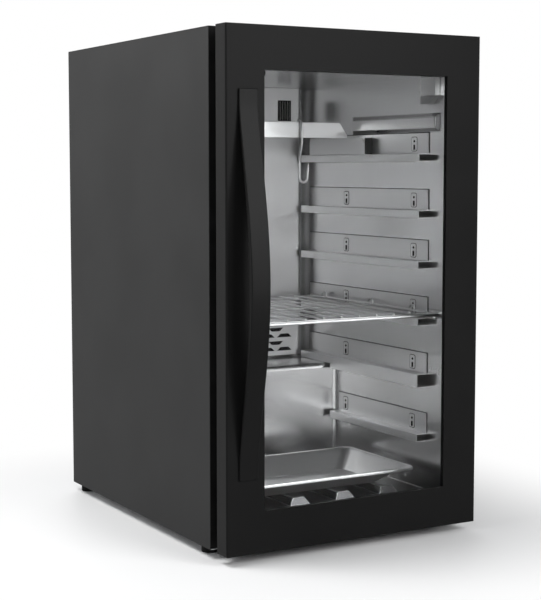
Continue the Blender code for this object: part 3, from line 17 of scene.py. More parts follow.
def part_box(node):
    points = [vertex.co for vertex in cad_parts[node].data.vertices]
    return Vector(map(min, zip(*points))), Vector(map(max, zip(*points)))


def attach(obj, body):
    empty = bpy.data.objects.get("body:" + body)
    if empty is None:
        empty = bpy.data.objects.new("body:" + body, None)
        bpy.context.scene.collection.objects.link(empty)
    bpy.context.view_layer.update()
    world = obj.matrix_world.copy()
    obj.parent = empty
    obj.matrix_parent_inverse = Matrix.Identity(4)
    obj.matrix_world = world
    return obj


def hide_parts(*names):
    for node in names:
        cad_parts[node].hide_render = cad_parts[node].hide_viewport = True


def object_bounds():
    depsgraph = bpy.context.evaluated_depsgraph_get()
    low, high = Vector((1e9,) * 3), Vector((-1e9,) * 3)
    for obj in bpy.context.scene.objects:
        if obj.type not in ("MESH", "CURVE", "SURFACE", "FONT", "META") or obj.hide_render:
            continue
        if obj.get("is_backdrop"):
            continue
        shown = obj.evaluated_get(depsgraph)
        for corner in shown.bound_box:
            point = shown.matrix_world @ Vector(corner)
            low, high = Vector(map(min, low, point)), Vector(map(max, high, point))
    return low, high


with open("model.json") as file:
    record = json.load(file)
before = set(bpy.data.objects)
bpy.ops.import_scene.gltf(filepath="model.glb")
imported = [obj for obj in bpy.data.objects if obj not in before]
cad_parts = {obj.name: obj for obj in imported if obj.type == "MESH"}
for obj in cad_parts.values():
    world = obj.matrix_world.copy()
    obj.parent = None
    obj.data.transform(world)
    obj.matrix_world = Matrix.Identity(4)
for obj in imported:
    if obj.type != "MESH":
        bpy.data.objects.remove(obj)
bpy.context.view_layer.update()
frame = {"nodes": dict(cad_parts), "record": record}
nodes, record = frame["nodes"], frame["record"]
body_of = {node: body for body, members in record["behaviour"]["bodies"].items() for node in members}
slot_of = {part["node"]: part["material_slot"] for part in record["subparts"]}

# %% [markdown]
# ## The camera
# A studio picture of an appliance is taken with a long lens from a little to one side, so that the front and one
# side both show and upright edges stay nearly upright. The camera looks a few degrees down, and a hair of lens
# shift centres the picture. It comes first, because every later choice is judged through it.

# %% Place the camera
LENS, TILT, SWING = 85.88, 0.0907, 0.5179
camera_data = bpy.data.cameras.new("camera")
camera_data.lens = LENS
camera_data.shift_x, camera_data.shift_y = -0.0002, -0.002
camera = bpy.data.objects.new("camera", camera_data)
camera.location = (-1.2777, -2.2524, 0.6278)
camera.rotation_euler = (math.pi / 2 - TILT, 0, -SWING)
bpy.context.scene.collection.objects.link(camera)
bpy.context.scene.camera = camera
print("camera looks", round(math.degrees(TILT), 1), "degrees down")

# %% [markdown]
# ## A short way to write shaders
# A finish is a small sum: a colour, plus a little of this noise, minus a little of that one. Typed out as nodes
# and links, such a sum is hard to read. This class wraps a node's output, so that Python's own signs add the Math
# nodes. A number may come first as well, as in 1 - mask, because the signs work from both sides.


# %% Wrap a socket
def feed(tree, socket, value):
    """Links a wire to a socket, or sets the socket to a plain value."""
    if isinstance(value, Wire):
        tree.links.new(value.socket, socket)
    else:
        socket.default_value = value


class Wire:
    """What a node puts out. Where it is a number, sums with it become Math nodes."""

    def __init__(self, tree, socket):
        self.tree, self.socket = tree, socket

    def maths(self, operation, *others, flip=False):
        made = self.tree.nodes.new("ShaderNodeMath")
        made.operation = operation
        values = [self, *others]
        for socket, value in zip(made.inputs, reversed(values) if flip else values):
            feed(self.tree, socket, value)
        return Wire(self.tree, made.outputs[0])

    def __add__(self, other):
        return self.maths("ADD", other)

    def __mul__(self, other):
        return self.maths("MULTIPLY", other)

    def __sub__(self, other):
        return self.maths("SUBTRACT", other)

    def __rsub__(self, other):
        return self.maths("SUBTRACT", other, flip=True)

    def __truediv__(self, other):
        return self.maths("DIVIDE", other)

    __radd__, __rmul__ = __add__, __mul__

    def between(self, low, high):
        """0 below low, 1 above high, and a straight ramp from one to the other."""
        return ((self - low) / (high - low)).maths("MAXIMUM", 0).maths("MINIMUM", 1)

    def sibling(self, output):
        """Another output of the same node."""
        return Wire(self.tree, self.socket.node.outputs[output])


print("a sum of wires becomes Math nodes")

# %% [markdown]
# Any other node comes from one method, which takes the kind of node, its settings, and the values or wires for its
# sockets. A finish is a tree of such nodes round one Principled shader. Where one shader isn't enough, as for glass
# that lets lamp light in, two of them are blended by a factor.


# %% Add nodes and start a finish
class Shading:
    """The node tree of a material or of the world."""

    def __init__(self, owner):
        owner.use_nodes = True
        self.tree = owner.node_tree

    def node(self, kind, settings=None, output=0, **inputs):
        """Adds a node. Its settings come first, then the values or wires of its sockets."""
        made = self.tree.nodes.new(kind)
        for name, value in (settings or {}).items():
            setattr(made, name, value)
        for name, value in inputs.items():
            feed(self.tree, made.inputs[name.replace("_", " ")], value)
        return Wire(self.tree, made.outputs[output])

    def blend(self, factor, plain, other, output="Material Output"):
        """Mixes two shaders by a factor, and sends the mix to the output."""
        mixed = self.node("ShaderNodeMixShader")
        for socket, value in zip(mixed.socket.node.inputs, (factor, plain, other)):
            feed(self.tree, socket, value)
        feed(self.tree, self.tree.nodes[output].inputs["Surface"], mixed)


class Finish(Shading):
    """A material with one Principled shader, and short ways to vary it."""

    def __init__(self, name, colour, roughness, metallic=0, **sockets):
        self.material = bpy.data.materials.new(name)
        super().__init__(self.material)
        self.shader = self.tree.nodes["Principled BSDF"]
        self.coat = Wire(self.tree, self.shader.outputs[0])
        self.colour = colour
        self.set("Base Color", (*colour, 1))
        self.set("Roughness", roughness)
        self.set("Metallic", metallic)
        for socket, value in sockets.items():
            self.set(socket.replace("_", " "), value)
        self.place = self.node("ShaderNodeTexCoord", output="Object")

    def set(self, socket, value):
        feed(self.tree, self.shader.inputs[socket], value)

    def stretched(self, x, y, z):
        """Object coordinates times x, y and z, so that a pattern is long where the number is small."""
        return self.node("ShaderNodeMapping", Vector=self.place, Scale=(x, y, z))

    def noise(self, scale, detail=2, where=None):
        return self.node("ShaderNodeTexNoise", Vector=where or self.place, Scale=scale, Detail=detail)

    def tint(self, factor, other):
        """Blends the base colour towards another one by a factor."""
        mixed = self.node("ShaderNodeMix", {"data_type": "RGBA"}, output=2)
        for index, value in ((0, factor), (6, (*self.colour, 1)), (7, (*other, 1))):
            feed(self.tree, mixed.socket.node.inputs[index], value)
        self.set("Base Color", mixed)

    def bump(self, height, strength, distance):
        self.set("Normal", self.node("ShaderNodeBump", Height=height, Strength=strength, Distance=distance))


print("finishes can be started")

# %% [markdown]
# ## The black finishes
# The casing and the door are sprayed steel with a satin black powder coat. Powder melts into a skin with a very
# fine orange peel, so the bump is about a millimetre across and hardly deep, and the gloss varies a little from
# place to place. The handle and the plastic parts are black too, and differ in gloss and grain: that is
# what tells black parts apart.


# %% Spray the black parts
def powder_coat(name, colour, roughness, gloss, peel=0.06):
    finish = Finish(name, colour, roughness, Specular_IOR_Level=gloss)
    fine, broad = finish.noise(900, 3), finish.noise(7, 2)
    finish.set("Roughness", roughness + (broad - 0.5) * 0.10 + (fine - 0.5) * 0.05)
    finish.tint(broad.between(0.35, 0.7) * 0.5, tuple(part * 1.35 for part in colour))
    finish.bump(fine, peel, 0.0004)
    return finish


def moulded(name, colour, roughness, grain=1100, depth=0.12):
    finish = Finish(name, colour, roughness, Specular_IOR_Level=0.06)
    cells = finish.node("ShaderNodeTexVoronoi", {"feature": "SMOOTH_F1"}, Vector=finish.place, Scale=grain)
    cloud = finish.noise(40, 3)
    finish.set("Roughness", roughness + (cloud - 0.5) * 0.12)
    finish.tint(cloud.between(0.4, 0.75) * 0.6, tuple(part * 1.5 + 0.002 for part in colour))
    finish.bump(cells, depth, 0.0003)
    return finish


casing_paint = powder_coat("satin black paint", (0.032, 0.032, 0.032), 0.38, 0.02)
door_paint = powder_coat("door paint", (0.006, 0.006, 0.006), 0.36, 0.055, 0.04)
handle_paint = powder_coat("handle paint", (0.005, 0.005, 0.005), 0.30, 0.07, 0.03)
dark_plastic = moulded("black moulded plastic", (0.006, 0.006, 0.006), 0.5)
smooth_plastic = moulded("smooth black plastic", (0.005, 0.005, 0.005), 0.22, 300, 0.02)
seal_rubber = moulded("door seal rubber", (0.004, 0.004, 0.004), 0.66, 1600, 0.2)
foot_rubber = moulded("foot rubber", (0.010, 0.010, 0.010), 0.75, 1400, 0.25)
print("black finishes are ready:", len(bpy.data.materials))

# %% [markdown]
# ## The metals
# The cold space is rolled stainless sheet: nearly a mirror, but blurred, because rolling leaves fine lines along
# the sheet. Noise squeezed to long thin streaks gives the lines, in roughness and in bump, and a broad soft noise
# stands for the slight waves of thin sheet, which bend the reflections. The broad walls are the shiniest, and the
# small parts stay a little duller, so that their own forms show and not the room's. The evaporator's fins are black
# as painted shade: they stand for the dark inside of the duct.


# %% Roll, polish and plate the metals
def rolled_steel(name, colour, roughness, lines=(6, 6, 220), waves=0.25, wave_size=9):
    finish = Finish(name, colour, roughness, 1)
    streaks = finish.noise(1, 1, finish.stretched(*lines))
    cloud = finish.noise(wave_size, 1)
    smears = finish.noise(22, 2)
    finish.set("Roughness", roughness + (streaks - 0.5) * 0.03 + (smears - 0.5) * 0.03)
    finish.tint((streaks * 0.3 + smears * 0.7).between(0.38, 0.66) * 0.25, tuple(part * 0.86 for part in colour))
    finish.bump(streaks * 0.006 + cloud, waves, 0.004)
    return finish


def plated(name, colour, roughness, spangle=90):
    finish = Finish(name, colour, roughness, 1)
    crystals = finish.node("ShaderNodeTexVoronoi", output="Color", Vector=finish.place, Scale=spangle)
    grey = finish.node("ShaderNodeRGBToBW", Color=crystals)
    finish.set("Roughness", roughness + (grey - 0.5) * 0.14)
    finish.tint(grey * 0.6, tuple(part * 0.7 for part in colour))
    finish.bump(finish.noise(350, 2), 0.05, 0.0005)
    return finish


wall_steel = rolled_steel("rolled stainless wall", (0.72, 0.72, 0.725), 0.24, waves=0.08)
rail_steel = rolled_steel("stainless rail", (0.74, 0.74, 0.745), 0.31, (4, 4, 300), 0.03, 16)
duct_steel = rolled_steel("stainless duct", (0.58, 0.58, 0.585), 0.33, (300, 6, 6), 0.012, 12)
wire_steel = rolled_steel("polished wire", (0.58, 0.58, 0.585), 0.31, (40, 300, 40), 0.02, 40)
tray_steel = rolled_steel("pressed tray", (0.76, 0.76, 0.765), 0.32, (5, 300, 300), 0.04, 20)
# Painted shade: a darker steel for the floor's broad faces, which stands for the shade and dark reflections there.
floor_painted_shade = rolled_steel("floor steel with painted shade", (0.13, 0.13, 0.134), 0.33, waves=0.05)
zinc = plated("galvanised sheet", (0.45, 0.46, 0.47), 0.42)
bolt_steel = plated("plated screw", (0.40, 0.40, 0.41), 0.32, 600)
# Painted shade: black fins stand for the dark inside of the duct behind the slots.
fins_painted_shade = powder_coat("fins in painted shade", (0.010, 0.010, 0.011), 0.5, 0.1)
copper = rolled_steel("copper tube", (0.72, 0.38, 0.25), 0.30, (300, 300, 20), 0.05, 60)
print("metals are ready")

# %% [markdown]
# ## Glass, foam and pale plastic
# The door holds two panes. Clear glass is a transmission shader, but a renderer doesn't send lamp light straight
# through it, and the cold space would go dark. So the glass is mixed with a plain see-through shader for shadow
# rays alone: lamps shine in, and the eye still sees real glass. The index of refraction is set low, because two
# panes with full reflections would veil the cold space, and real display glass is coated against that. Foam is
# beige, with the skin of small bubbles.


# %% Pour the glass and foam
def clear_pane(name, colour):
    finish = Finish(name, colour, 0.0, Transmission_Weight=1.0, IOR=1.12)
    open_way = finish.node("ShaderNodeBsdfTransparent", Color=(0.96, 0.965, 0.965, 1))
    finish.blend(finish.node("ShaderNodeLightPath", output="Is Shadow Ray"), finish.coat, open_way)
    return finish


def foamed(name, colour):
    finish = Finish(name, colour, 0.9)
    bubbles = finish.node("ShaderNodeTexVoronoi", {"feature": "F1"}, Vector=finish.place, Scale=420)
    skin = finish.noise(30, 4)
    finish.tint((skin * 0.7 + bubbles * 0.6).between(0.3, 0.9), (0.62, 0.50, 0.30))
    finish.bump(bubbles * 0.6 + skin, 0.5, 0.002)
    return finish


pane_glass = clear_pane("door glass", (0.985, 0.988, 0.988))
wall_foam = foamed("insulation foam", (0.82, 0.76, 0.58))
pale_plastic = moulded("pale plastic", (0.66, 0.66, 0.64), 0.42, 500, 0.04)
lens_plastic = moulded("frosted lens", (0.20, 0.20, 0.205), 0.30, 260, 0.05)
print("materials so far:", len(bpy.data.materials))

# %% [markdown]
# ## Tools for shaping
# Operators work on what is selected, so each step first selects one object alone. A bevel rounds its edges, smooth
# shading joins its small faces, and weighted normals keep the broad ones flat. Each modifier is applied at once, so a
# finished piece is a plain mesh.


# %% Open edit mode and apply modifiers
def alone(thing):
    """Selects one object and nothing else."""
    bpy.ops.object.select_all(action="DESELECT")
    thing.select_set(True)
    bpy.context.view_layer.objects.active = thing
    return thing


def editing(thing):
    alone(thing)
    bpy.ops.object.mode_set(mode="EDIT")


def done_editing():
    bpy.ops.object.mode_set(mode="OBJECT")


def applied(thing, kind, **settings):
    """Adds a modifier, sets it and applies it."""
    alone(thing)
    modifier = thing.modifiers.new(kind.lower(), kind)
    for name, value in settings.items():
        setattr(modifier, name, value)
    bpy.ops.object.modifier_apply(modifier=modifier.name)
    return thing


def smoothed(thing, angle=35):
    """Shades round edges smooth. Broad flat faces then set the normals at their rims, so that they look flat."""
    alone(thing)
    bpy.ops.object.shade_smooth_by_angle(angle=math.radians(angle))
    return applied(thing, "WEIGHTED_NORMAL", keep_sharp=True, weight=90)


def rounded_edges(thing, width, segments=2, angle=40):
    return applied(
        thing, "BEVEL", width=width, segments=segments, limit_method="ANGLE", angle_limit=math.radians(angle)
    )


print("edges can be rounded")

# %% [markdown]
# A finished piece gets its coat, is attached to the body of the model that it moves with, and hides the CAD solids
# that it stands for. Trim that stands for no solid gets a coat and a body only.


# %% Coat and attach a finished piece
def coated(thing, finish):
    thing.data.materials.clear()
    thing.data.materials.append(finish.material)
    return thing


def fitted(thing, finish, body, slot, *stands_for):
    """Gives a finished piece its coat and its body, and hides the CAD nodes it stands for. The slot is not used."""
    coated(thing, finish)
    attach(thing, body)
    if stands_for:
        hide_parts(*stands_for)
    return thing


print("bodies that pieces ride on:", len(set(body_of.values())))

# %% [markdown]
# ## From CAD solid to real sheet and moulding
# A CAD solid has knife edges, and no real part does: a press, a mould or a file leaves a small radius, and that
# radius is what catches the light. For parts whose shape is already right, the quickest good way is to copy the
# CAD mesh, weld its loose triangles, melt flat triangles back into whole faces, and bevel the sharp edges.


# %% Round the edges of CAD parts
WELD_DISTANCE, FLAT_ANGLE = 0.000002, math.radians(0.5)
finished = {}


def linked(name, data):
    """A new object for a mesh, a curve or a lamp."""
    made = bpy.data.objects.new(name, data)
    bpy.context.scene.collection.objects.link(made)
    return made


def welded(node):
    """A copy of a CAD node, welded and melted back into whole faces."""
    copy = linked(f"{node}_finished", nodes[node].data.copy())
    editing(copy)
    bpy.ops.mesh.select_all(action="SELECT")
    bpy.ops.mesh.remove_doubles(threshold=WELD_DISTANCE)
    bpy.ops.mesh.dissolve_limited(angle_limit=FLAT_ANGLE)
    done_editing()
    return copy


def refined(node, finish, width=0.0004, segments=2, angle=32, smooth=35):
    """A welded copy of a CAD node with rounded edges, which stands for the node."""
    copy = welded(node)
    if width:
        rounded_edges(copy, width, segments, angle)
    finished[node] = fitted(smoothed(copy, smooth), finish, body_of[node], slot_of[node], node)
    return copy


print("ready to refine", len(nodes), "nodes")

# %% [markdown]
# ## The casing
# The side panels and the top are folded sheet, so a radius of a third of a millimetre is right. The base pan, the
# back panel and the hinge arms aren't painted but galvanised, which shows as faint crystals. The moulded frame
# round the opening is softer at its edges.

# %% Finish the casing
for name in ("left_side_panel", "right_side_panel", "top_panel", "machine_cover"):
    refined(name, casing_paint, 0.0003)
for name in ("base_pan", "back_panel", "compressor_mount", "top_hinge", "bottom_hinge"):
    refined(name, zinc)
refined("front_frame", dark_plastic, 0.0008)
for name in ("top_hinge_bush", "bottom_hinge_bush", "drain_tube", "sensor_cover"):
    refined(name, pale_plastic, 0.0003)
refined("insulation_foam", wall_foam, 0)
print("casing pieces:", len(finished))

# %% [markdown]
# ## The liner
# The cold space is one folded and pressed liner. Its ribs and beads are pressed with a punch, so their edges are
# much rounder than a cut edge. A bevel modifier would hold every edge back to the width that the thin sheet's own
# rim allows. So the wanted edges are picked by place in edit mode, and only those are bevelled.


# %% Pick faces and edges by their place
def pick(thing, kind, wanted):
    """In edit mode, selects the faces or edges for which wanted is true."""
    bpy.ops.mesh.select_mode(type={"faces": "FACE", "edges": "EDGE"}[kind])
    bpy.ops.mesh.select_all(action="DESELECT")
    shape = bmesh.from_edit_mesh(thing.data)
    shape.normal_update()
    chosen = [part for part in getattr(shape, kind) if wanted(part)]
    for part in chosen:
        part.select_set(True)
    shape.select_flush_mode()
    bmesh.update_edit_mesh(thing.data)
    return len(chosen)


def middle_of(part):
    return sum((corner.co for corner in part.verts), Vector()) / len(part.verts)


def span_of(edge):
    return edge.verts[1].co - edge.verts[0].co


def sharp(edge, angle):
    """True for an edge whose two faces turn by this many degrees or more."""
    return len(edge.link_faces) == 2 and edge.calc_face_angle() >= math.radians(angle)


print("faces and edges can be picked")

# %% [markdown]
# Depths are counted from the door's face. The edges at the liner's front rim and round its drain hole are cut and not
# pressed, so they stay as they are.

# %% Round the liner's pressed edges
DOOR_FACE = -0.299
BODY_FRONT, CAVITY_BACK, REAR_PLANE = DOOR_FACE + 0.0575, DOOR_FACE + 0.545, DOOR_FACE + 0.600
FLOOR, CEILING, INNER_HALF = 0.056, 0.786, 0.212
DRAIN, DRAIN_REACH, RIM_DEPTH = Vector((-0.12, DOOR_FACE + 0.5275)), 0.012, 0.004


def pressed(edge):
    if not sharp(edge, 28):
        return False
    spot = middle_of(edge)
    return spot.y > BODY_FRONT + RIM_DEPTH and (spot.xy - DRAIN).length > DRAIN_REACH


liner = welded("inner_liner")
editing(liner)
count = pick(liner, "edges", pressed)
bpy.ops.mesh.bevel(offset=0.0016, segments=3, clamp_overlap=False)
done_editing()
smoothed(liner, 40)
fitted(liner, wall_steel, "cabinet", "stainless", "inner_liner")
print("pressed edges:", count, "faces:", len(liner.data.polygons))

# %% [markdown]
# The floor's broad faces get painted shade: a darker steel that stands for the shade and the dark reflections on the
# floor. The narrow bevels keep the wall's finish, so the ribs' edges show as painted bright lines. One mesh can hold
# two finishes: the second material goes on the broad low faces alone, and the narrow bevels keep the first. A face's
# mean width is twice its area over its outline. The blunt front end of each bead gets the painted shade as well.

# %% Paint shade on the floor
RIB_LEVEL, STRIP_WIDTH, BEAD_END, BEAD_LEVELS = FLOOR + 0.0145, 0.0014, BODY_FRONT + 0.0180, (0.69, 0.73)
liner.data.materials.append(floor_painted_shade.material)
corners, dark = liner.data.vertices, 0
for face in liner.data.polygons:
    outline = sum((corners[first].co - corners[second].co).length for first, second in face.edge_keys)
    at_bead = BEAD_LEVELS[0] < face.center.z < BEAD_LEVELS[1] and face.center.y < BEAD_END
    shaded_bead_end = face.normal.y < -0.3 and at_bead
    # Painted shade on the broad floor faces and the blunt bead ends; the bevels keep the wall's finish and read
    # bright.
    if shaded_bead_end or (2 * face.area / outline > STRIP_WIDTH and face.center.z < RIB_LEVEL):
        face.material_index, dark = 1, dark + 1
print("dark faces:", dark)

# %% [markdown]
# ## The shelf rails
# Each rail is a strip of sheet folded into a ledge, which hangs on two pegs. Its back lies against the wall, so only
# the outline of its plate and the long folds that face the cold space are picked and rounded.

# %% Round the folds of the rails
PLATE_NEAR, PLATE_FAR, LEDGE_REACH, LONG_FOLD, TALL_FOLD = 0.001, 0.0017, 0.0217, 0.05, 0.03


def fold_of_rail(edge):
    """True for the plate's outline and for the long folds of the ledge, seen from the cold space."""
    if not sharp(edge, 30):
        return False
    span, reach = span_of(edge), INNER_HALF - abs(middle_of(edge).x)
    at_plate = PLATE_NEAR < reach < PLATE_FAR
    along = abs(span.normalized().y) > 0.99 and span.length > LONG_FOLD
    upright = abs(span.y) < 0.0001 and span.length > TALL_FOLD
    return (along and (at_plate or reach > LEDGE_REACH)) or (upright and at_plate)


folds = 0
for side in ("left", "right"):
    for level in range(1, 7):
        rail = refined(f"{side}_rail_{level}", rail_steel, 0)
        editing(rail)
        folds += pick(rail, "edges", fold_of_rail)
        bpy.ops.mesh.bevel(offset=0.0011, segments=4, clamp_overlap=False)
        done_editing()
        smoothed(rail, 40)
print("rounded folds:", folds)

# %% [markdown]
# A new part starts as a primitive at its size and place. Both are written into its mesh, because a finished piece
# has its object at the origin, as the CAD solids do. Parts that are one thing on the real cabinet are joined.


# %% Start a box, and join parts
def settled(name, scale=(1, 1, 1)):
    """Names the primitive that was added last, and writes its place and its scale into its mesh."""
    made = alone(bpy.context.object)
    made.name = made.data.name = name
    made.scale = scale
    bpy.ops.object.transform_apply(location=True, rotation=True, scale=True)
    return made


def box_between(name, low, high):
    """A cube primitive stretched to a box."""
    low, high = Vector(low), Vector(high)
    bpy.ops.mesh.primitive_cube_add(size=1, location=(low + high) / 2)
    return settled(name, high - low)


def joined(name, parts):
    """Joins pieces that are one thing on the real object."""
    made = alone(parts[0])
    for part in parts[1:]:
        part.select_set(True)
    if len(parts) > 1:
        bpy.ops.object.join()
    made.name = made.data.name = name
    return made


print("boxes can be started")

# %% [markdown]
# Each rail's plate lies on a thin black strip that is painted shade: it stands for the shadow gap round the plate.
# Only a rim of a millimetre shows, and that dark line is what draws the plate on the bright wall.

# %% Lay the painted shade strips behind the rails
LEDGES = (0.6542, 0.5550, 0.4655, 0.3650, 0.2650, 0.1577)
STRIP_RIM, STRIP_BACK, STRIP_FRONT = 0.0012, INNER_HALF - 0.0001, INNER_HALF - 0.0009
for side, turn in (("left", -1), ("right", 1)):
    shade_strips = []
    for level, ledge in enumerate(LEDGES, 1):
        low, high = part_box(f"{side}_rail_{level}")
        near, far = sorted((turn * STRIP_FRONT, turn * STRIP_BACK))
        # Painted shade: each strip's black rim stands for the shadow gap round the rail's plate.
        strip = box_between("strip", (near, low.y - STRIP_RIM, ledge + 0.001), (far, high.y, high.z + STRIP_RIM))
        shade_strips.append(rounded_edges(strip, 0.0003))
    fitted(joined(f"{side}_rail_shade_strips", shade_strips), seal_rubber, "cabinet", "black_plastic")
print("strips on each side:", len(shade_strips))

# %% [markdown]
# Round each pair of peg holes the sheet is stamped with a small rounded frame. It is modelled once: a thin box with
# round corners, whose front and back are inset and joined through, so that it becomes a ring. Frames and pegs sit at
# the same places, so one function sets a model at all of them, on both walls.


# %% Stamp the frames
def round_cornered(block, radius, band):
    """Rounds a block's four edges along X and insets its two end faces, which stay selected."""
    editing(block)
    pick(block, "edges", lambda edge: abs(span_of(edge).normalized().x) > 0.9)
    bpy.ops.mesh.bevel(offset=radius, segments=4)
    pick(block, "faces", lambda face: abs(face.normal.x) > 0.9)
    bpy.ops.mesh.inset(thickness=band)


def stamped_ring(name, thickness, half_width, half_height, radius, band):
    """A raised rounded frame round the origin, facing along X."""
    ring = box_between(name, (-thickness, -half_width, -half_height), (0, half_width, half_height))
    round_cornered(ring, radius, band)
    bpy.ops.mesh.bridge_edge_loops()
    done_editing()
    rounded_edges(ring, thickness * 0.4, 3, 50)
    return smoothed(ring)


def copies(thing, name, places, keep=False):
    """Copies of one model, each moved to its place in its own mesh, joined as one piece."""
    made = []
    for place in places:
        copy = linked(name, thing.data.copy())
        copy.data.transform(Matrix.Translation(place))
        made.append(copy)
    if not keep:
        bpy.data.objects.remove(thing)
    return joined(name, made)


def on_both_walls(model, name, left_x, right_x, finish, slot):
    """Sets a model at every place of a peg, as one piece on each side."""
    for side, x in (("left", left_x), ("right", right_x)):
        pieces = copies(model, f"{side}_{name}", [(x, y, z) for y, z in spots], keep=True)
        fitted(pieces, finish, "cabinet", slot)
    bpy.data.objects.remove(model)


PEG_PLACES, PEG_RISE, RAIL_FACE = (DOOR_FACE + 0.1434, DOOR_FACE + 0.3652), 0.0170, INNER_HALF - 0.0015
spots = [(y, ledge + PEG_RISE) for ledge in LEDGES for y in PEG_PLACES]
ring = stamped_ring("stamped frame", 0.0010, 0.0078, 0.0119, 0.0034, 0.0020)
on_both_walls(ring, "stamped_frames", -RAIL_FACE + 0.0009, RAIL_FACE + 0.0001, rail_steel, "stainless")
print("stamped frames:", 2 * len(spots))

# %% [markdown]
# The pegs are black plastic. Seen from inside the cold space, each shows as a round stud in the upper hole and a
# tongue in the slot under it. A thin black rim all round the stamped frame is painted shade: it stands for the shadow
# line round the frame, and is modelled as a flange of the peg. They are small, so short primitives with rounded ends
# do for the stud and tongue, and the flange is one more ring, thinner and wider.


# %% Put the pegs in
def cylinder_along(name, axis, middle, radius, length, sides=24):
    """A cylinder primitive turned to lie along an axis."""
    turn = {"X": (0, math.pi / 2, 0), "Y": (math.pi / 2, 0, 0), "Z": (0, 0, 0)}[axis]
    bpy.ops.mesh.primitive_cylinder_add(vertices=sides, radius=radius, depth=length, location=middle, rotation=turn)
    return settled(name)


stud = cylinder_along("peg stud", "X", (0, 0, 0.0050), 0.0021, 0.0016, 16)
rounded_edges(stud, 0.0005)
tongue = box_between("peg tongue", (-0.0008, -0.0019, -0.0111), (0.0008, 0.0019, -0.0009))
round_cornered(tongue, 0.0018, 0.0005)
bpy.ops.transform.resize(value=(0.55, 1, 0.9), center_override=(0, 0, -0.0060))
done_editing()
# Painted shade: the black flange's rim stands for the shadow line round the stamped frame.
shade_flange = stamped_ring("peg flange", 0.0005, 0.0089, 0.0130, 0.0042, 0.0016)
shade_flange.data.transform(Matrix.Translation((0.00025, 0, 0)))
peg = joined("peg", [stud, smoothed(tongue), shade_flange])
on_both_walls(peg, "rail_pegs", -RAIL_FACE + 0.0002, RAIL_FACE - 0.0002, smooth_plastic, "black_plastic")
print("pegs:", 2 * len(spots))

# %% [markdown]
# ## The air duct and its fan
# A bent cover hides the evaporator and a fan. Its slots are laser cut, so a hair's breadth of bevel is enough to
# give each slot a bright rim. Behind the slots the duct is dark, with black plastic blades in a square housing.

# %% Finish the duct, the fan and the evaporator
refined("air_duct_cover", duct_steel, 0.00025, 1)
# Painted shade: the evaporator is black, for the dark inside of the duct.
refined("evaporator", fins_painted_shade, 0)
for name in ("fan_housing", "fan_blades"):
    refined(name, dark_plastic, 0.0003, 1)
print("duct faces:", len(finished["air_duct_cover"].data.polygons))

# %% [markdown]
# A black sheet lines the wall behind the duct. It is painted shade: it stands for the dark inside of the duct, and it
# is why the slots look black.

# %% Lay painted shade behind the duct
SHADE_SHEET_MARGIN = 0.004
# Painted shade: a black sheet behind the slots, for the duct's dark inside.
low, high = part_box("air_duct_cover")
shade_sheet = box_between(
    "duct_painted_shade",
    (low.x + SHADE_SHEET_MARGIN, CAVITY_BACK - 0.003, low.z + SHADE_SHEET_MARGIN),
    (high.x - SHADE_SHEET_MARGIN, CAVITY_BACK - 0.0006, high.z - SHADE_SHEET_MARGIN),
)
rounded_edges(shade_sheet, 0.0008)
fitted(smoothed(shade_sheet), seal_rubber, "cabinet", "black_plastic")
print("lining:", [round(value, 3) for value in shade_sheet.dimensions])

# %% [markdown]
# The slots at the top right have a black louvre clipped over them. One bar of it is modelled and copied between
# the slots, and a bar across each end holds them together.

# %% Clip the louvre on the slots
LOUVRE_BACK = CAVITY_BACK - 0.035 - 0.0001
SLOT_LOW, SLOT_TOP, SLOT_PITCH = CEILING - 0.0634, CEILING - 0.0254, 0.0055
BARS, FIRST_BAR, BAR_HALF, BAR_DEPTH, END_HALF, END_DEPTH = 6, 0.1702, 0.0011, 0.0012, 0.0012, 0.0014
upright = box_between(
    "louvre bar", (-BAR_HALF, LOUVRE_BACK - BAR_DEPTH, SLOT_LOW), (BAR_HALF, LOUVRE_BACK, SLOT_TOP)
)
rounded_edges(upright, 0.0004)
uprights = copies(upright, "louvre bars", [(FIRST_BAR - SLOT_PITCH * index, 0, 0) for index in range(BARS)])
ends = []
for level in (SLOT_LOW, SLOT_TOP):
    end = box_between(
        "louvre end",
        (FIRST_BAR - SLOT_PITCH * (BARS - 1) - BAR_HALF, LOUVRE_BACK - END_DEPTH, level - END_HALF),
        (FIRST_BAR + BAR_HALF, LOUVRE_BACK, level + END_HALF),
    )
    ends.append(rounded_edges(end, 0.0005))
louvre = joined("vent_louvre", [uprights, *ends])
fitted(smoothed(louvre), dark_plastic, "cabinet", "black_plastic")
print("louvre bars:", BARS)

# %% [markdown]
# ## The hanging bar
# The brackets and the bar are folded steel of 1.5 mm. The bar is a channel with its ends cut off at a slant, and
# simply lies on the brackets. A black cap closes the front end of each bracket.

# %% Finish the bar and its brackets
for name in ("left_hanger_bracket", "right_hanger_bracket", "hanging_bar"):
    refined(name, rail_steel, 0.0005, 3)
for side in ("left", "right"):
    low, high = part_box(f"{side}_hanger_bracket")
    cap = box_between(f"{side}_bracket_cap", (low.x, low.y - 0.0012, low.z), (high.x, low.y + 0.0005, high.z))
    fitted(smoothed(rounded_edges(cap, 0.0005)), dark_plastic, "cabinet", "black_plastic")

# %% [markdown]
# ## The hook
# The hook is one bent wire with a sharp point. A curve with a round bevel is the quickest wire: its points
# follow the bends, and its radius shrinks towards the end, which makes the point. Converted to a mesh, it is a
# normal piece. Its upper eye goes over the bar, and the lower bend is turned a quarter, as on the real one. The
# eye is wider than the bar, so it rests on the bar's two upper edges, and its centre lies a little below them.

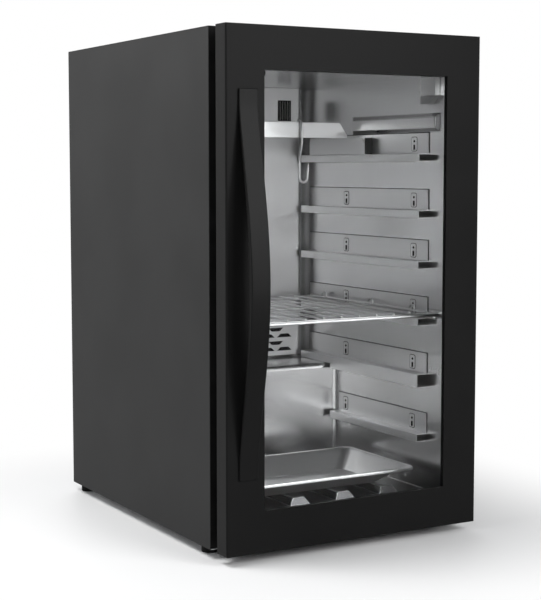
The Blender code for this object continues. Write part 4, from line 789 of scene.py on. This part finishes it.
# %% Bend the hook
HOOK_X, HOOK_WIRE, BAR_Y, BAR_TOP, BAR_LOW = 0.093, 0.0025, DOOR_FACE + 0.345, 0.7133, 0.6848
BAR_HALF_WIDTH, EYE_PLAY, SEAT_GAP, EYE_TAIL, SHANK = 0.004, 0.0025, 0.0003, 0.009, 0.045
BEND_LEVEL, BEND_RADIUS, POINT_RISE, EASE_STEPS = 0.6111, 0.0085, 0.0265, 12


def bow(radius, start, end, steps):
    """Points on an arc round the origin, from one angle to another."""
    turns = [math.radians(start + (end - start) * step / steps) for step in range(steps + 1)]
    return [(radius * math.cos(turn), radius * math.sin(turn)) for turn in turns]


loop = BAR_HALF_WIDTH + EYE_PLAY + HOOK_WIRE
eye = BAR_TOP - math.sqrt((loop - HOOK_WIRE - SEAT_GAP) ** 2 - BAR_HALF_WIDTH**2)
line = [(HOOK_X, BAR_Y + loop, eye - EYE_TAIL)]
line += [(HOOK_X, BAR_Y + y, eye + z) for y, z in bow(loop, 0, 180, 18)]
start, end = BAR_LOW - HOOK_WIRE, BAR_LOW - SHANK
for step in range(EASE_STEPS + 1):
    share = step / EASE_STEPS
    ease = share * share * (3 - 2 * share)
    line.append((HOOK_X, BAR_Y - loop * (1 - ease), start + (end - start) * share))
line += [(HOOK_X + BEND_RADIUS + x, BAR_Y, BEND_LEVEL + z) for x, z in bow(BEND_RADIUS, 180, 360, 18)]
for share in (0.5, 0.8, 1.0):
    line.append((HOOK_X + 2 * BEND_RADIUS + HOOK_WIRE * share, BAR_Y, BEND_LEVEL + POINT_RISE * share))


def wire_curve(name, points, radius, radii=None, resolution=5):
    """A round wire along points, as a mesh. Radii are shares of the radius, one for each point."""
    curve = bpy.data.curves.new(name, "CURVE")
    curve.dimensions, curve.bevel_depth, curve.bevel_resolution = "3D", radius, resolution
    curve.use_fill_caps = True
    spline = curve.splines.new("POLY")
    spline.points.add(len(points) - 1)
    for index, (point, place) in enumerate(zip(spline.points, points)):
        point.co = (*place, 1)
        point.radius = radii[index] if radii else 1
    alone(linked(name, curve))
    bpy.ops.object.convert(target="MESH")
    made = bpy.context.object
    editing(made)
    bpy.ops.mesh.select_all(action="SELECT")
    bpy.ops.mesh.remove_doubles(threshold=0.00001)
    bpy.ops.mesh.normals_make_consistent(inside=False)
    done_editing()
    return smoothed(made, 50)


thin = [1.0] * (len(line) - 2) + [0.62, 0.12]
hook = wire_curve("bent_hook", line, HOOK_WIRE, thin)
fitted(hook, wire_steel, "hook", "stainless", "hanging_hook")
print("hook faces:", len(hook.data.polygons))

# %% [markdown]
# ## The wire shelf
# The shelf is welded from drawn wire: two side wires that slide on the ledges, five cross wires on them, and
# twelve rods on top. Each wire is a cylinder with rounded ends, since cut wire is tumbled smooth. One of
# each kind is modelled, and the rest are copies. The six loops at the sides stop the shelf from being lifted out.

# %% Weld the shelf
SHELF_FRONT, SHELF_BACK = DOOR_FACE + 0.0607, DOOR_FACE + 0.490
SIDE_X, SIDE_Z, CROSS_Z, ROD_Z = 0.2007, 0.3688, 0.3739, 0.3775
SIDE_WIRE, CROSS_WIRE, ROD_WIRE, CROSS_LENGTH, CROSS_STEP = 0.0035, 0.0028, 0.0020, 0.415, 0.020
RODS, ROD_PITCH, ROD_SHORTER, LOOP_HALF, LOOP_RISE = 12, 0.0354, 0.034, 0.007, 0.010


def wire_along(name, axis, radius, length):
    wire = cylinder_along(name, axis, (0, 0, 0), radius, length, 14)
    return smoothed(rounded_edges(wire, radius * 0.6, 3, 60), 40)


middle_y = (SHELF_FRONT + SHELF_BACK) / 2
depth = SHELF_BACK - SHELF_FRONT
side_places = [(x, middle_y, SIDE_Z) for x in (-SIDE_X, SIDE_X)]
sides = copies(wire_along("side", "Y", SIDE_WIRE, depth), "side wires", side_places)
cross_ys = (SHELF_FRONT, SHELF_FRONT + CROSS_STEP, middle_y, SHELF_BACK - CROSS_STEP, SHELF_BACK)
cross_places = [(0, y, CROSS_Z) for y in cross_ys]
crosses = copies(wire_along("cross", "X", CROSS_WIRE, CROSS_LENGTH), "cross wires", cross_places)
rod_places = [((index - (RODS - 1) / 2) * ROD_PITCH, middle_y, ROD_Z) for index in range(RODS)]
rods = copies(wire_along("rod", "Y", ROD_WIRE, depth - ROD_SHORTER), "rods", rod_places)
loops = []
for share in (0.170, 0.479, 0.860):
    y = SHELF_FRONT + depth * share
    for x in (-SIDE_X, SIDE_X):
        arch = [(x, y - LOOP_HALF, SIDE_Z)]
        arch += [(x, y + u, SIDE_Z + LOOP_RISE + v) for u, v in bow(LOOP_HALF, 180, 0, 12)]
        arch += [(x, y + LOOP_HALF, SIDE_Z)]
        loops.append(wire_curve("stop loop", arch, ROD_WIRE, None, 4))
shelf = joined("wire_shelf_welded", [sides, crosses, rods, *loops])
fitted(shelf, wire_steel, "shelf", "stainless", "wire_shelf")
print("shelf faces:", len(shelf.data.polygons))

# %% [markdown]
# ## The drip tray
# The tray is one deep-drawn sheet: a small floor, wide sloping walls, a flat rim and a lip folded down. It starts
# as a box without a lid. Its floor is scaled in, its slanting corner edges are bevelled to a wide radius, and
# the open edge is extruded out and then down. Only at the end does it get a wall, from a Solidify modifier.

# %% Draw the tray
TRAY_X, TRAY_FRONT, TRAY_BACK, TRAY_LOW, TRAY_TOP = 0.188, DOOR_FACE + 0.0963, DOOR_FACE + 0.3183, 0.0703, 0.1005
RIM, SLOPE, LIP, CORNER, TRAY_SHEET = 0.008, 0.040, 0.005, 0.013, 0.0009
middle, half_y = Vector((0, (TRAY_FRONT + TRAY_BACK) / 2, 0)), (TRAY_BACK - TRAY_FRONT) / 2
mouth_x, mouth_y = TRAY_X - RIM, half_y - RIM
tray = box_between(
    "drip_tray_drawn", (-mouth_x, TRAY_FRONT + RIM, TRAY_LOW), (mouth_x, TRAY_BACK - RIM, TRAY_TOP)
)
editing(tray)
pick(tray, "faces", lambda face: face.normal.z > 0.9)
bpy.ops.mesh.delete(type="ONLY_FACE")
pick(tray, "faces", lambda face: face.normal.z < -0.9)
shrink = ((mouth_x - SLOPE) / mouth_x, (mouth_y - SLOPE) / mouth_y, 1)
bpy.ops.transform.resize(value=shrink, center_override=middle)
pick(tray, "edges", lambda edge: abs(span_of(edge).z) > 0.01)
bpy.ops.mesh.bevel(offset=CORNER, segments=6)
for grow, drop in (((TRAY_X / mouth_x, half_y / mouth_y, 1), 0), ((1.001, 1.001, 1), -LIP)):
    pick(tray, "edges", lambda edge: edge.is_boundary)
    bpy.ops.mesh.extrude_edges_move(TRANSFORM_OT_translate={"value": (0, 0, drop)})
    bpy.ops.transform.resize(value=grow, center_override=middle)
done_editing()
rounded_edges(tray, 0.0022, 3, 25)
applied(tray, "SOLIDIFY", thickness=TRAY_SHEET, offset=1, use_even_offset=True)
smoothed(tray, 50)
fitted(tray, tray_steel, "tray", "stainless", "drip_tray")
print("tray box:", [round(value, 4) for value in tray.dimensions])

# %% [markdown]
# ## Lamp, panel and sensor
# The lamp sits high on the right wall: a metal shade over a frosted lens. The touch panel hangs under the
# ceiling at the left, and the sensor for the air's warmth hides under a small pale cap.

# %% Finish the small fittings
refined("lamp_housing", rail_steel, 0.0016, 4)
lens = refined("lamp_lens", lens_plastic, 0)
low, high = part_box("lamp_lens")
editing(lens)
pick(lens, "edges", lambda edge: max(corner.co.y + corner.co.z for corner in edge.verts) < low.y + low.z + 0.0001)
bpy.ops.mesh.bevel(offset=0.0075, segments=1)
done_editing()
smoothed(rounded_edges(lens, 0.0012, 3))
refined("control_panel", smooth_plastic, 0.0006, 3, 20)
low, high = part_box("control_panel")
keys = []
for share in (0.25, 0.5, 0.75):
    middle = (low.x + (high.x - low.x) * share, low.y + (high.y - low.y) * 0.4, low.z)
    key = cylinder_along("touch key", "Z", middle, 0.0052, 0.0012, 28)
    editing(key)
    pick(key, "faces", lambda face: face.normal.z < -0.9)
    bpy.ops.mesh.inset(thickness=0.0012)
    bpy.ops.transform.translate(value=(0, 0, 0.0005))
    done_editing()
    keys.append(smoothed(rounded_edges(key, 0.0003)))
print("touch keys:", len(keys))
fitted(joined("touch_keys", keys), dark_plastic, "cabinet", "panel_plastic")

# %% [markdown]
# ## The door
# The door is a moulded and sheet-covered frame whose front edges are rounded by 3 mm at the sides. CAD already
# holds that curve, so its copy only needs smooth shading and a fine bevel on the other edges. The two panes
# lie behind its lip, with a spacer between them, and a plastic inner frame closes the back.

# %% Finish the door's frame and glass
refined("door_frame", door_paint, 0.0007, 3, 40, 30)
for name in ("outer_glass", "inner_glass"):
    refined(name, pane_glass, 0)
refined("glass_spacer", smooth_plastic)
refined("door_inner_frame", dark_plastic, 0.0010, 3)
for name in ("handle_screw_upper", "handle_screw_lower"):
    refined(name, bolt_steel, 0.0003)
print("door pieces:", len([name for name in finished if body_of[name] == "door"]))

# %% [markdown]
# ## The door seal
# A magnetic seal is a soft extrusion: a foot that is pushed in the door, a bellows that folds, and a bulb with
# the magnet. All four sides have this same section, mitred at the corners. Edit mode makes that from one
# rectangle: each extrusion moves it back a little and scales it to the next step of the section, so its corners
# stay true. The last step is bridged to the first, which closes the section.


# %% Extrude the seal
def swept_frame(name, centre, steps):
    """A closed frame round the Y axis, from steps of half its width, half its height, and its place on Y."""
    (half_x, half_z, y), *others = steps
    bpy.ops.mesh.primitive_plane_add(size=2, location=(centre[0], y, centre[1]), rotation=(math.pi / 2, 0, 0))
    made = settled(name, (half_x, half_z, 1))
    editing(made)
    bpy.ops.mesh.select_all(action="SELECT")
    bpy.ops.mesh.delete(type="ONLY_FACE")
    bpy.ops.mesh.select_all(action="SELECT")
    for next_x, next_z, next_y in others:
        bpy.ops.mesh.extrude_edges_move(TRANSFORM_OT_translate={"value": (0, next_y - y, 0)})
        scale = (next_x / half_x, 1, next_z / half_z)
        bpy.ops.transform.resize(value=scale, center_override=(centre[0], next_y, centre[1]))
        half_x, half_z, y = next_x, next_z, next_y
    pick(made, "edges", lambda edge: edge.is_boundary)
    bpy.ops.mesh.bridge_edge_loops()
    bpy.ops.mesh.select_all(action="SELECT")
    bpy.ops.mesh.normals_make_consistent(inside=False)
    done_editing()
    return made


SEAL_FACE, MM, HALF_MOUTH = DOOR_FACE + 0.0456, 1000, (CEILING - FLOOR) / 2
section = [(15.4, 0.0), (15.4, 2.2), (12.6, 3.2), (14.2, 4.8), (12.9, 6.3), (14.6, 7.4), (14.6, 11.2), (4.2, 11.2)]
section += [(4.2, 8.2), (6.2, 6.6), (3.2, 4.9), (5.4, 3.2), (1.8, 2.2), (1.8, 0.0)]
steps = [(INNER_HALF + out / MM, HALF_MOUTH + out / MM, SEAL_FACE + back / MM) for out, back in section]
seal = swept_frame("door_seal", (0, (CEILING + FLOOR) / 2), steps)
rounded_edges(seal, 0.0005, angle=20)
smoothed(seal, 60)
fitted(seal, seal_rubber, "door", "seal", "door_gasket")
print("seal faces:", len(seal.data.polygons))

# %% [markdown]
# ## The handle
# The handle is one bowed bar of cast metal, thin at both pads and standing 44 mm off the door in its middle. A
# cube is stretched to the pads' thickness and cut across at many levels. Then each corner moves out by a bow
# that rises like a sine, with the front moving further than the back, so the bar also gets thicker.

# %% Bow the handle
HANDLE_LEFT, HANDLE_RIGHT, HANDLE_LOW, HANDLE_HIGH, PAD_LENGTH = -0.2225, -0.189, 0.137, 0.751, 0.022
PAD_FRONT, PAD_BACK = DOOR_FACE - 0.004, DOOR_FACE - 0.0003
RISE_FRONT, RISE_BACK, RISE_POWER, CUTS = 0.040, 0.0347, 1.3, 56
bow_low, bow_length = HANDLE_LOW + PAD_LENGTH, HANDLE_HIGH - HANDLE_LOW - 2 * PAD_LENGTH
handle = box_between("door_handle", (HANDLE_LEFT, PAD_FRONT, HANDLE_LOW), (HANDLE_RIGHT, PAD_BACK, HANDLE_HIGH))
editing(handle)
for index in range(CUTS + 1):
    bpy.ops.mesh.select_all(action="SELECT")
    bpy.ops.mesh.bisect(plane_co=(0, 0, bow_low + bow_length * index / CUTS), plane_no=(0, 0, 1))
shape = bmesh.from_edit_mesh(handle.data)
for corner in shape.verts:
    share = (corner.co.z - bow_low) / bow_length
    rise = math.sin(math.pi * share) ** RISE_POWER if 0 < share < 1 else 0
    corner.co.y -= rise * (RISE_FRONT if corner.co.y < (PAD_FRONT + PAD_BACK) / 2 else RISE_BACK)
bmesh.update_edit_mesh(handle.data)
done_editing()
rounded_edges(handle, 0.0016, 3, 50)
smoothed(handle, 40)
fitted(handle, handle_paint, "door", "handle_metal", "handle")
print("handle box:", [round(value, 4) for value in handle.dimensions])

# %% [markdown]
# ## A small lathe
# Screw heads, feet and the compressor's shell are turned shapes. A filled circle is extruded upwards again and again,
# and scaled to the next radius each time, which is how one turns a shape by hand in edit mode. The low end is the
# circle itself and the top is its last copy, so the shape is closed.


# %% Turn shapes
def lathe(name, centre, profile, sides):
    """Turns a profile of radius and height, from the low end up, round the upright through centre."""
    (radius, height), *others = profile
    bpy.ops.mesh.primitive_circle_add(vertices=sides, radius=radius, fill_type="NGON", location=(0, 0, height))
    made = settled(name)
    editing(made)
    bpy.ops.mesh.select_all(action="SELECT")
    for next_radius, next_height in others:
        bpy.ops.mesh.extrude_region_move(TRANSFORM_OT_translate={"value": (0, 0, next_height - height)})
        scale = next_radius / radius
        bpy.ops.transform.resize(value=(scale, scale, 1), center_override=(0, 0, next_height))
        radius, height = next_radius, next_height
    bpy.ops.mesh.select_all(action="SELECT")
    bpy.ops.mesh.normals_make_consistent(inside=False)
    done_editing()
    made.data.transform(Matrix.Translation(centre))
    return made


print("the lathe is ready")

# %% [markdown]
# ## The feet
# A levelling foot is a plastic pad with a hexagon above it for a spanner, on a threaded stud. Each foot turns by
# itself, so each is its own piece.

# %% Turn the feet
for name in ("front_left", "front_right", "rear_left", "rear_right"):
    low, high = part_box(f"{name}_foot")
    x, y = (low.x + high.x) / 2, (low.y + high.y) / 2
    pad = lathe("pad", (x, y, 0), [(0.0132, 0), (0.0140, 0.0009), (0.0140, 0.0085), (0.0124, 0.0106)], 40)
    hexagon = lathe("hexagon", (x, y, 0), [(0.0086, 0.0100), (0.0086, 0.0154)], 6)
    rounded_edges(hexagon, 0.0005)
    stud = lathe("stud", (x, y, 0), [(0.0038, 0.0150), (0.0038, 0.0245), (0.0032, 0.0252)], 20)
    foot = joined(f"{name}_levelling_foot", [pad, hexagon, stud])
    fitted(smoothed(foot, 40), foot_rubber, name, "black_plastic", f"{name}_foot")
print("feet:", 4)

# %% [markdown]
# ## The compressor
# The sealed compressor is two deep-drawn steel cups, welded at a rim round the middle. On its side is a plastic
# cover over the terminals, and copper tubes are soldered into stubs. Rubber feet carry its plate.

# %% Turn the compressor
low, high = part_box("compressor")
centre = Vector(((low.x + high.x) / 2, (low.y + high.y) / 2, low.z))
profile = [(0.020, 0.0), (0.043, 0.0), (0.0528, 0.010), (0.0570, 0.026), (0.0580, 0.074), (0.0612, 0.0755)]
profile += [(0.0620, 0.0765), (0.0620, 0.0800), (0.0612, 0.0810), (0.0580, 0.0825), (0.0576, 0.0980)]
profile += [(0.0560, 0.1085), (0.0510, 0.1190), (0.0420, 0.1270), (0.0300, 0.1320), (0.0150, 0.1345)]
shell = smoothed(lathe("compressor_shell", centre, profile, 56), 40)
fitted(shell, casing_paint, "cabinet", "black_steel", "compressor")
cover = box_between(
    "terminal_cover",
    (centre.x - 0.024, centre.y - 0.0700, centre.z + 0.020),
    (centre.x + 0.024, centre.y - 0.0520, centre.z + 0.066),
)
rounded_edges(cover, 0.005, 4, 50)
fitted(smoothed(cover), dark_plastic, "cabinet", "black_plastic")
UP, STUB_START, STUB_STEP, STUB_BEND, STUB_RADIUS = Vector((0, 0, 1)), 0.054, 0.004, 0.006, 0.0026
stubs = []
for angle, rise in ((205, 0.034), (150, 0.030), (170, 0.095)):
    turn = math.radians(angle)
    out = Vector((math.cos(turn), math.sin(turn), 0))
    path = [centre + out * (STUB_START + STUB_STEP * step) + UP * rise for step in range(4)]
    corner = path[-1]
    for bent in (0.5, 1.0, 1.57):
        path.append(corner + out * STUB_BEND * math.sin(bent) + UP * STUB_BEND * (1 - math.cos(bent)))
    corner = path[-1]
    path += [corner + UP * STUB_BEND * step for step in range(1, 5)]
    stubs.append(wire_curve("copper stub", path, STUB_RADIUS, None, 4))
fitted(joined("copper_stubs", stubs), copper, "cabinet", "black_steel")
print("compressor faces:", len(shell.data.polygons))

# %% [markdown]
# ## The condenser
# Behind the cabinet a long tube zigzags across the recess. Thin wires are welded to both sides of it, to give off
# heat. The tube comes from CAD with a finer skin, one wire is modelled, and the rest are copies.

# %% Weld the condenser
refined("condenser_coil", casing_paint, 0, smooth=60)
COIL_Y, COIL_LOW, COIL_HIGH = DOOR_FACE + 0.614, 0.2560, 0.7315
WIRES, WIRE_PITCH, WIRE_OUT, WIRE_RADIUS = 40, 0.0094, 0.0031, 0.0007
wire = cylinder_along("coil wire", "Z", (0, 0, 0), WIRE_RADIUS, COIL_HIGH - COIL_LOW, 6)
places = []
for index in range(WIRES):
    x = (index - (WIRES - 1) / 2) * WIRE_PITCH
    places += [(x, COIL_Y + side * WIRE_OUT, (COIL_LOW + COIL_HIGH) / 2) for side in (-1, 1)]
wires = copies(smoothed(wire, 60), "condenser_wires", places)
fitted(wires, casing_paint, "cabinet", "black_steel")
print("condenser wires:", len(places))

# %% [markdown]
# ## The pan and the cable gland
# Melt water from the duct drips in a black pan, where the warm compressor dries it up. The mains cable comes in
# through a gland at the left.

# %% Finish the pan and the gland
for name in ("evaporation_tray", "power_gland"):
    refined(name, dark_plastic, 0.0004, 3, 40)
print("pieces refined:", len(finished))

# %% [markdown]
# ## Screws at the back
# Sheet is held by screws along its edges. One head is turned, with a socket, and copied to every place on
# the back panel and the cover. They face backwards, so the model is turned before it is copied.


# %% Screw on the back
def screw_head(name, radius, height):
    """A low round head with a six-sided socket, facing up from the origin."""
    head = lathe(name, (0, 0, 0), [(radius, 0), (radius, height * 0.45), (radius * 0.72, height)], 24)
    editing(head)
    pick(head, "faces", lambda face: face.normal.z > 0.9)
    bpy.ops.mesh.inset(thickness=radius * 0.3)
    bpy.ops.mesh.extrude_region_move(TRANSFORM_OT_translate={"value": (0, 0, -height * 0.6)})
    done_editing()
    return smoothed(head, 30)


BACK_FACE, COVER_FACE = REAR_PLANE + 0.0001, DOOR_FACE + 0.637 + 0.0001
head = screw_head("screw head", 0.0036, 0.0021)
head.data.transform(Matrix.Rotation(-math.pi / 2, 4, "X"))
places = [(x, BACK_FACE, z) for z in (0.2400, 0.8380) for x in (-0.15, 0.0, 0.15)]
places += [(x, BACK_FACE, z) for x in (-0.2340, 0.2340) for z in (0.40, 0.58, 0.76)]
places += [(x, COVER_FACE, z) for x in (-0.2200, 0.2200) for z in (0.050, 0.200)]
screws = copies(head, "back_screws", places)
fitted(screws, bolt_steel, "cabinet", "galvanised")
print("screws:", len(places))

# %% [markdown]
# ## Floor and light
# A product picture has a white background without an edge. The floor is a wide pale disc that keeps the cabinet's
# shadow near it, and fades into plain white further away. Only the camera, reflections and glass see that white.


# %% Lay the floor
def seen_white(shading):
    """1 for the rays that see the white background, and 0 for the others."""
    camera_ray = shading.node("ShaderNodeLightPath", output="Is Camera Ray")
    either = camera_ray.maths("MAXIMUM", camera_ray.sibling("Is Glossy Ray"))
    return either.maths("MAXIMUM", camera_ray.sibling("Is Transmission Ray"))


FLOOR_RADIUS, SHADE_X, SHADE_Y, FADE_START, FADE_END = 7, 0.20, 0.30, 0.03, 0.50
bpy.ops.mesh.primitive_circle_add(vertices=96, radius=FLOOR_RADIUS, fill_type="NGON", location=(0, 0, 0))
floor = alone(bpy.context.object)
floor.name = "floor"
floor_finish = Finish("pale floor", (0.86, 0.86, 0.86), 0.5, Specular_IOR_Level=0.25)
spot = floor_finish.node("ShaderNodeSeparateXYZ", Vector=floor_finish.place)
beside = (spot.maths("ABSOLUTE") - SHADE_X).maths("MAXIMUM", 0)
along = (spot.sibling("Y").maths("ABSOLUTE") - SHADE_Y).maths("MAXIMUM", 0)
away = (beside * beside + along * along).maths("SQRT").between(FADE_START, FADE_END)
fade = away * away * (3 - 2 * away)
white = floor_finish.node("ShaderNodeEmission")
floor_finish.blend(fade * seen_white(floor_finish), floor_finish.coat, white)
coated(floor, floor_finish)
floor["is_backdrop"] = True
print("floor radius:", FLOOR_RADIUS)

# %% [markdown]
# The world is white in the same way, and a softer grey for everything else, so the white never floods the object. The
# key lamp stands over the left side, and big lamps in front light the door and the cold space. A small low one at
# the right shows up in the bow of the handle. Lamp light reaches the cold space by shadow rays, which the panes
# let through. So the lamps hide from refracted rays and do without multiple importance sampling, which would count on
# those rays: no light is lost or counted twice, and the steel stays clean.

# %% Light the studio
world = bpy.data.worlds.new("studio")
bpy.context.scene.world = world
sky = Shading(world)
grey = sky.tree.nodes["Background"]
grey.inputs["Color"].default_value = (0.80, 0.82, 0.85, 1)
grey.inputs["Strength"].default_value = 0.30
white = sky.node("ShaderNodeBackground", Color=(1, 1, 1, 1))
sky.blend(seen_white(sky), Wire(sky.tree, grey.outputs[0]), white, "World Output")


def softbox(name, place, target, size, power):
    """A rectangular lamp that faces a point."""
    lamp = bpy.data.lights.new(name, "AREA")
    lamp.shape, lamp.size, lamp.size_y, lamp.energy = "RECTANGLE", *size, power
    lamp.cycles.use_multiple_importance_sampling = False
    made = linked(name, lamp)
    made.location = place
    made.visible_camera = made.visible_transmission = False
    made.rotation_euler = (Vector(target) - Vector(place)).to_track_quat("-Z", "Y").to_euler()


softbox("key", (-1.0, 0.05, 1.75), (-0.24, 0.0, 0.75), (0.9, 0.9), 27)
softbox("left", (-2.1, 1.7, 1.3), (-0.24, -0.1, 0.6), (1.6, 1.5), 8)
softbox("front", (0.9, -2.5, 1.6), (0, -0.3, 0.6), (1.5, 1.7), 46)
softbox("fill", (-1.7, -2.6, 1.5), (0, 0, 0.45), (1.0, 1.2), 16)
softbox("low", (1.0, -2.5, 0.45), (-0.2, -0.34, 0.45), (0.4, 0.6), 5)
softbox("rear", (0.8, 2.6, 1.8), (0, 0.2, 0.45), (2.0, 1.6), 14)

bpy.context.scene.view_settings.view_transform = "Standard"
print("lamps:", len(bpy.data.lights))

# %% [markdown]
# ## Measure and finish
# The box of the dressed part is measured and printed as the last line. The dressed part may not
# outgrow its CAD box.

# %% Print the visual box
low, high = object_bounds()
print("visual box:", [[round(value, 4) for value in corner] for corner in (low, high)])
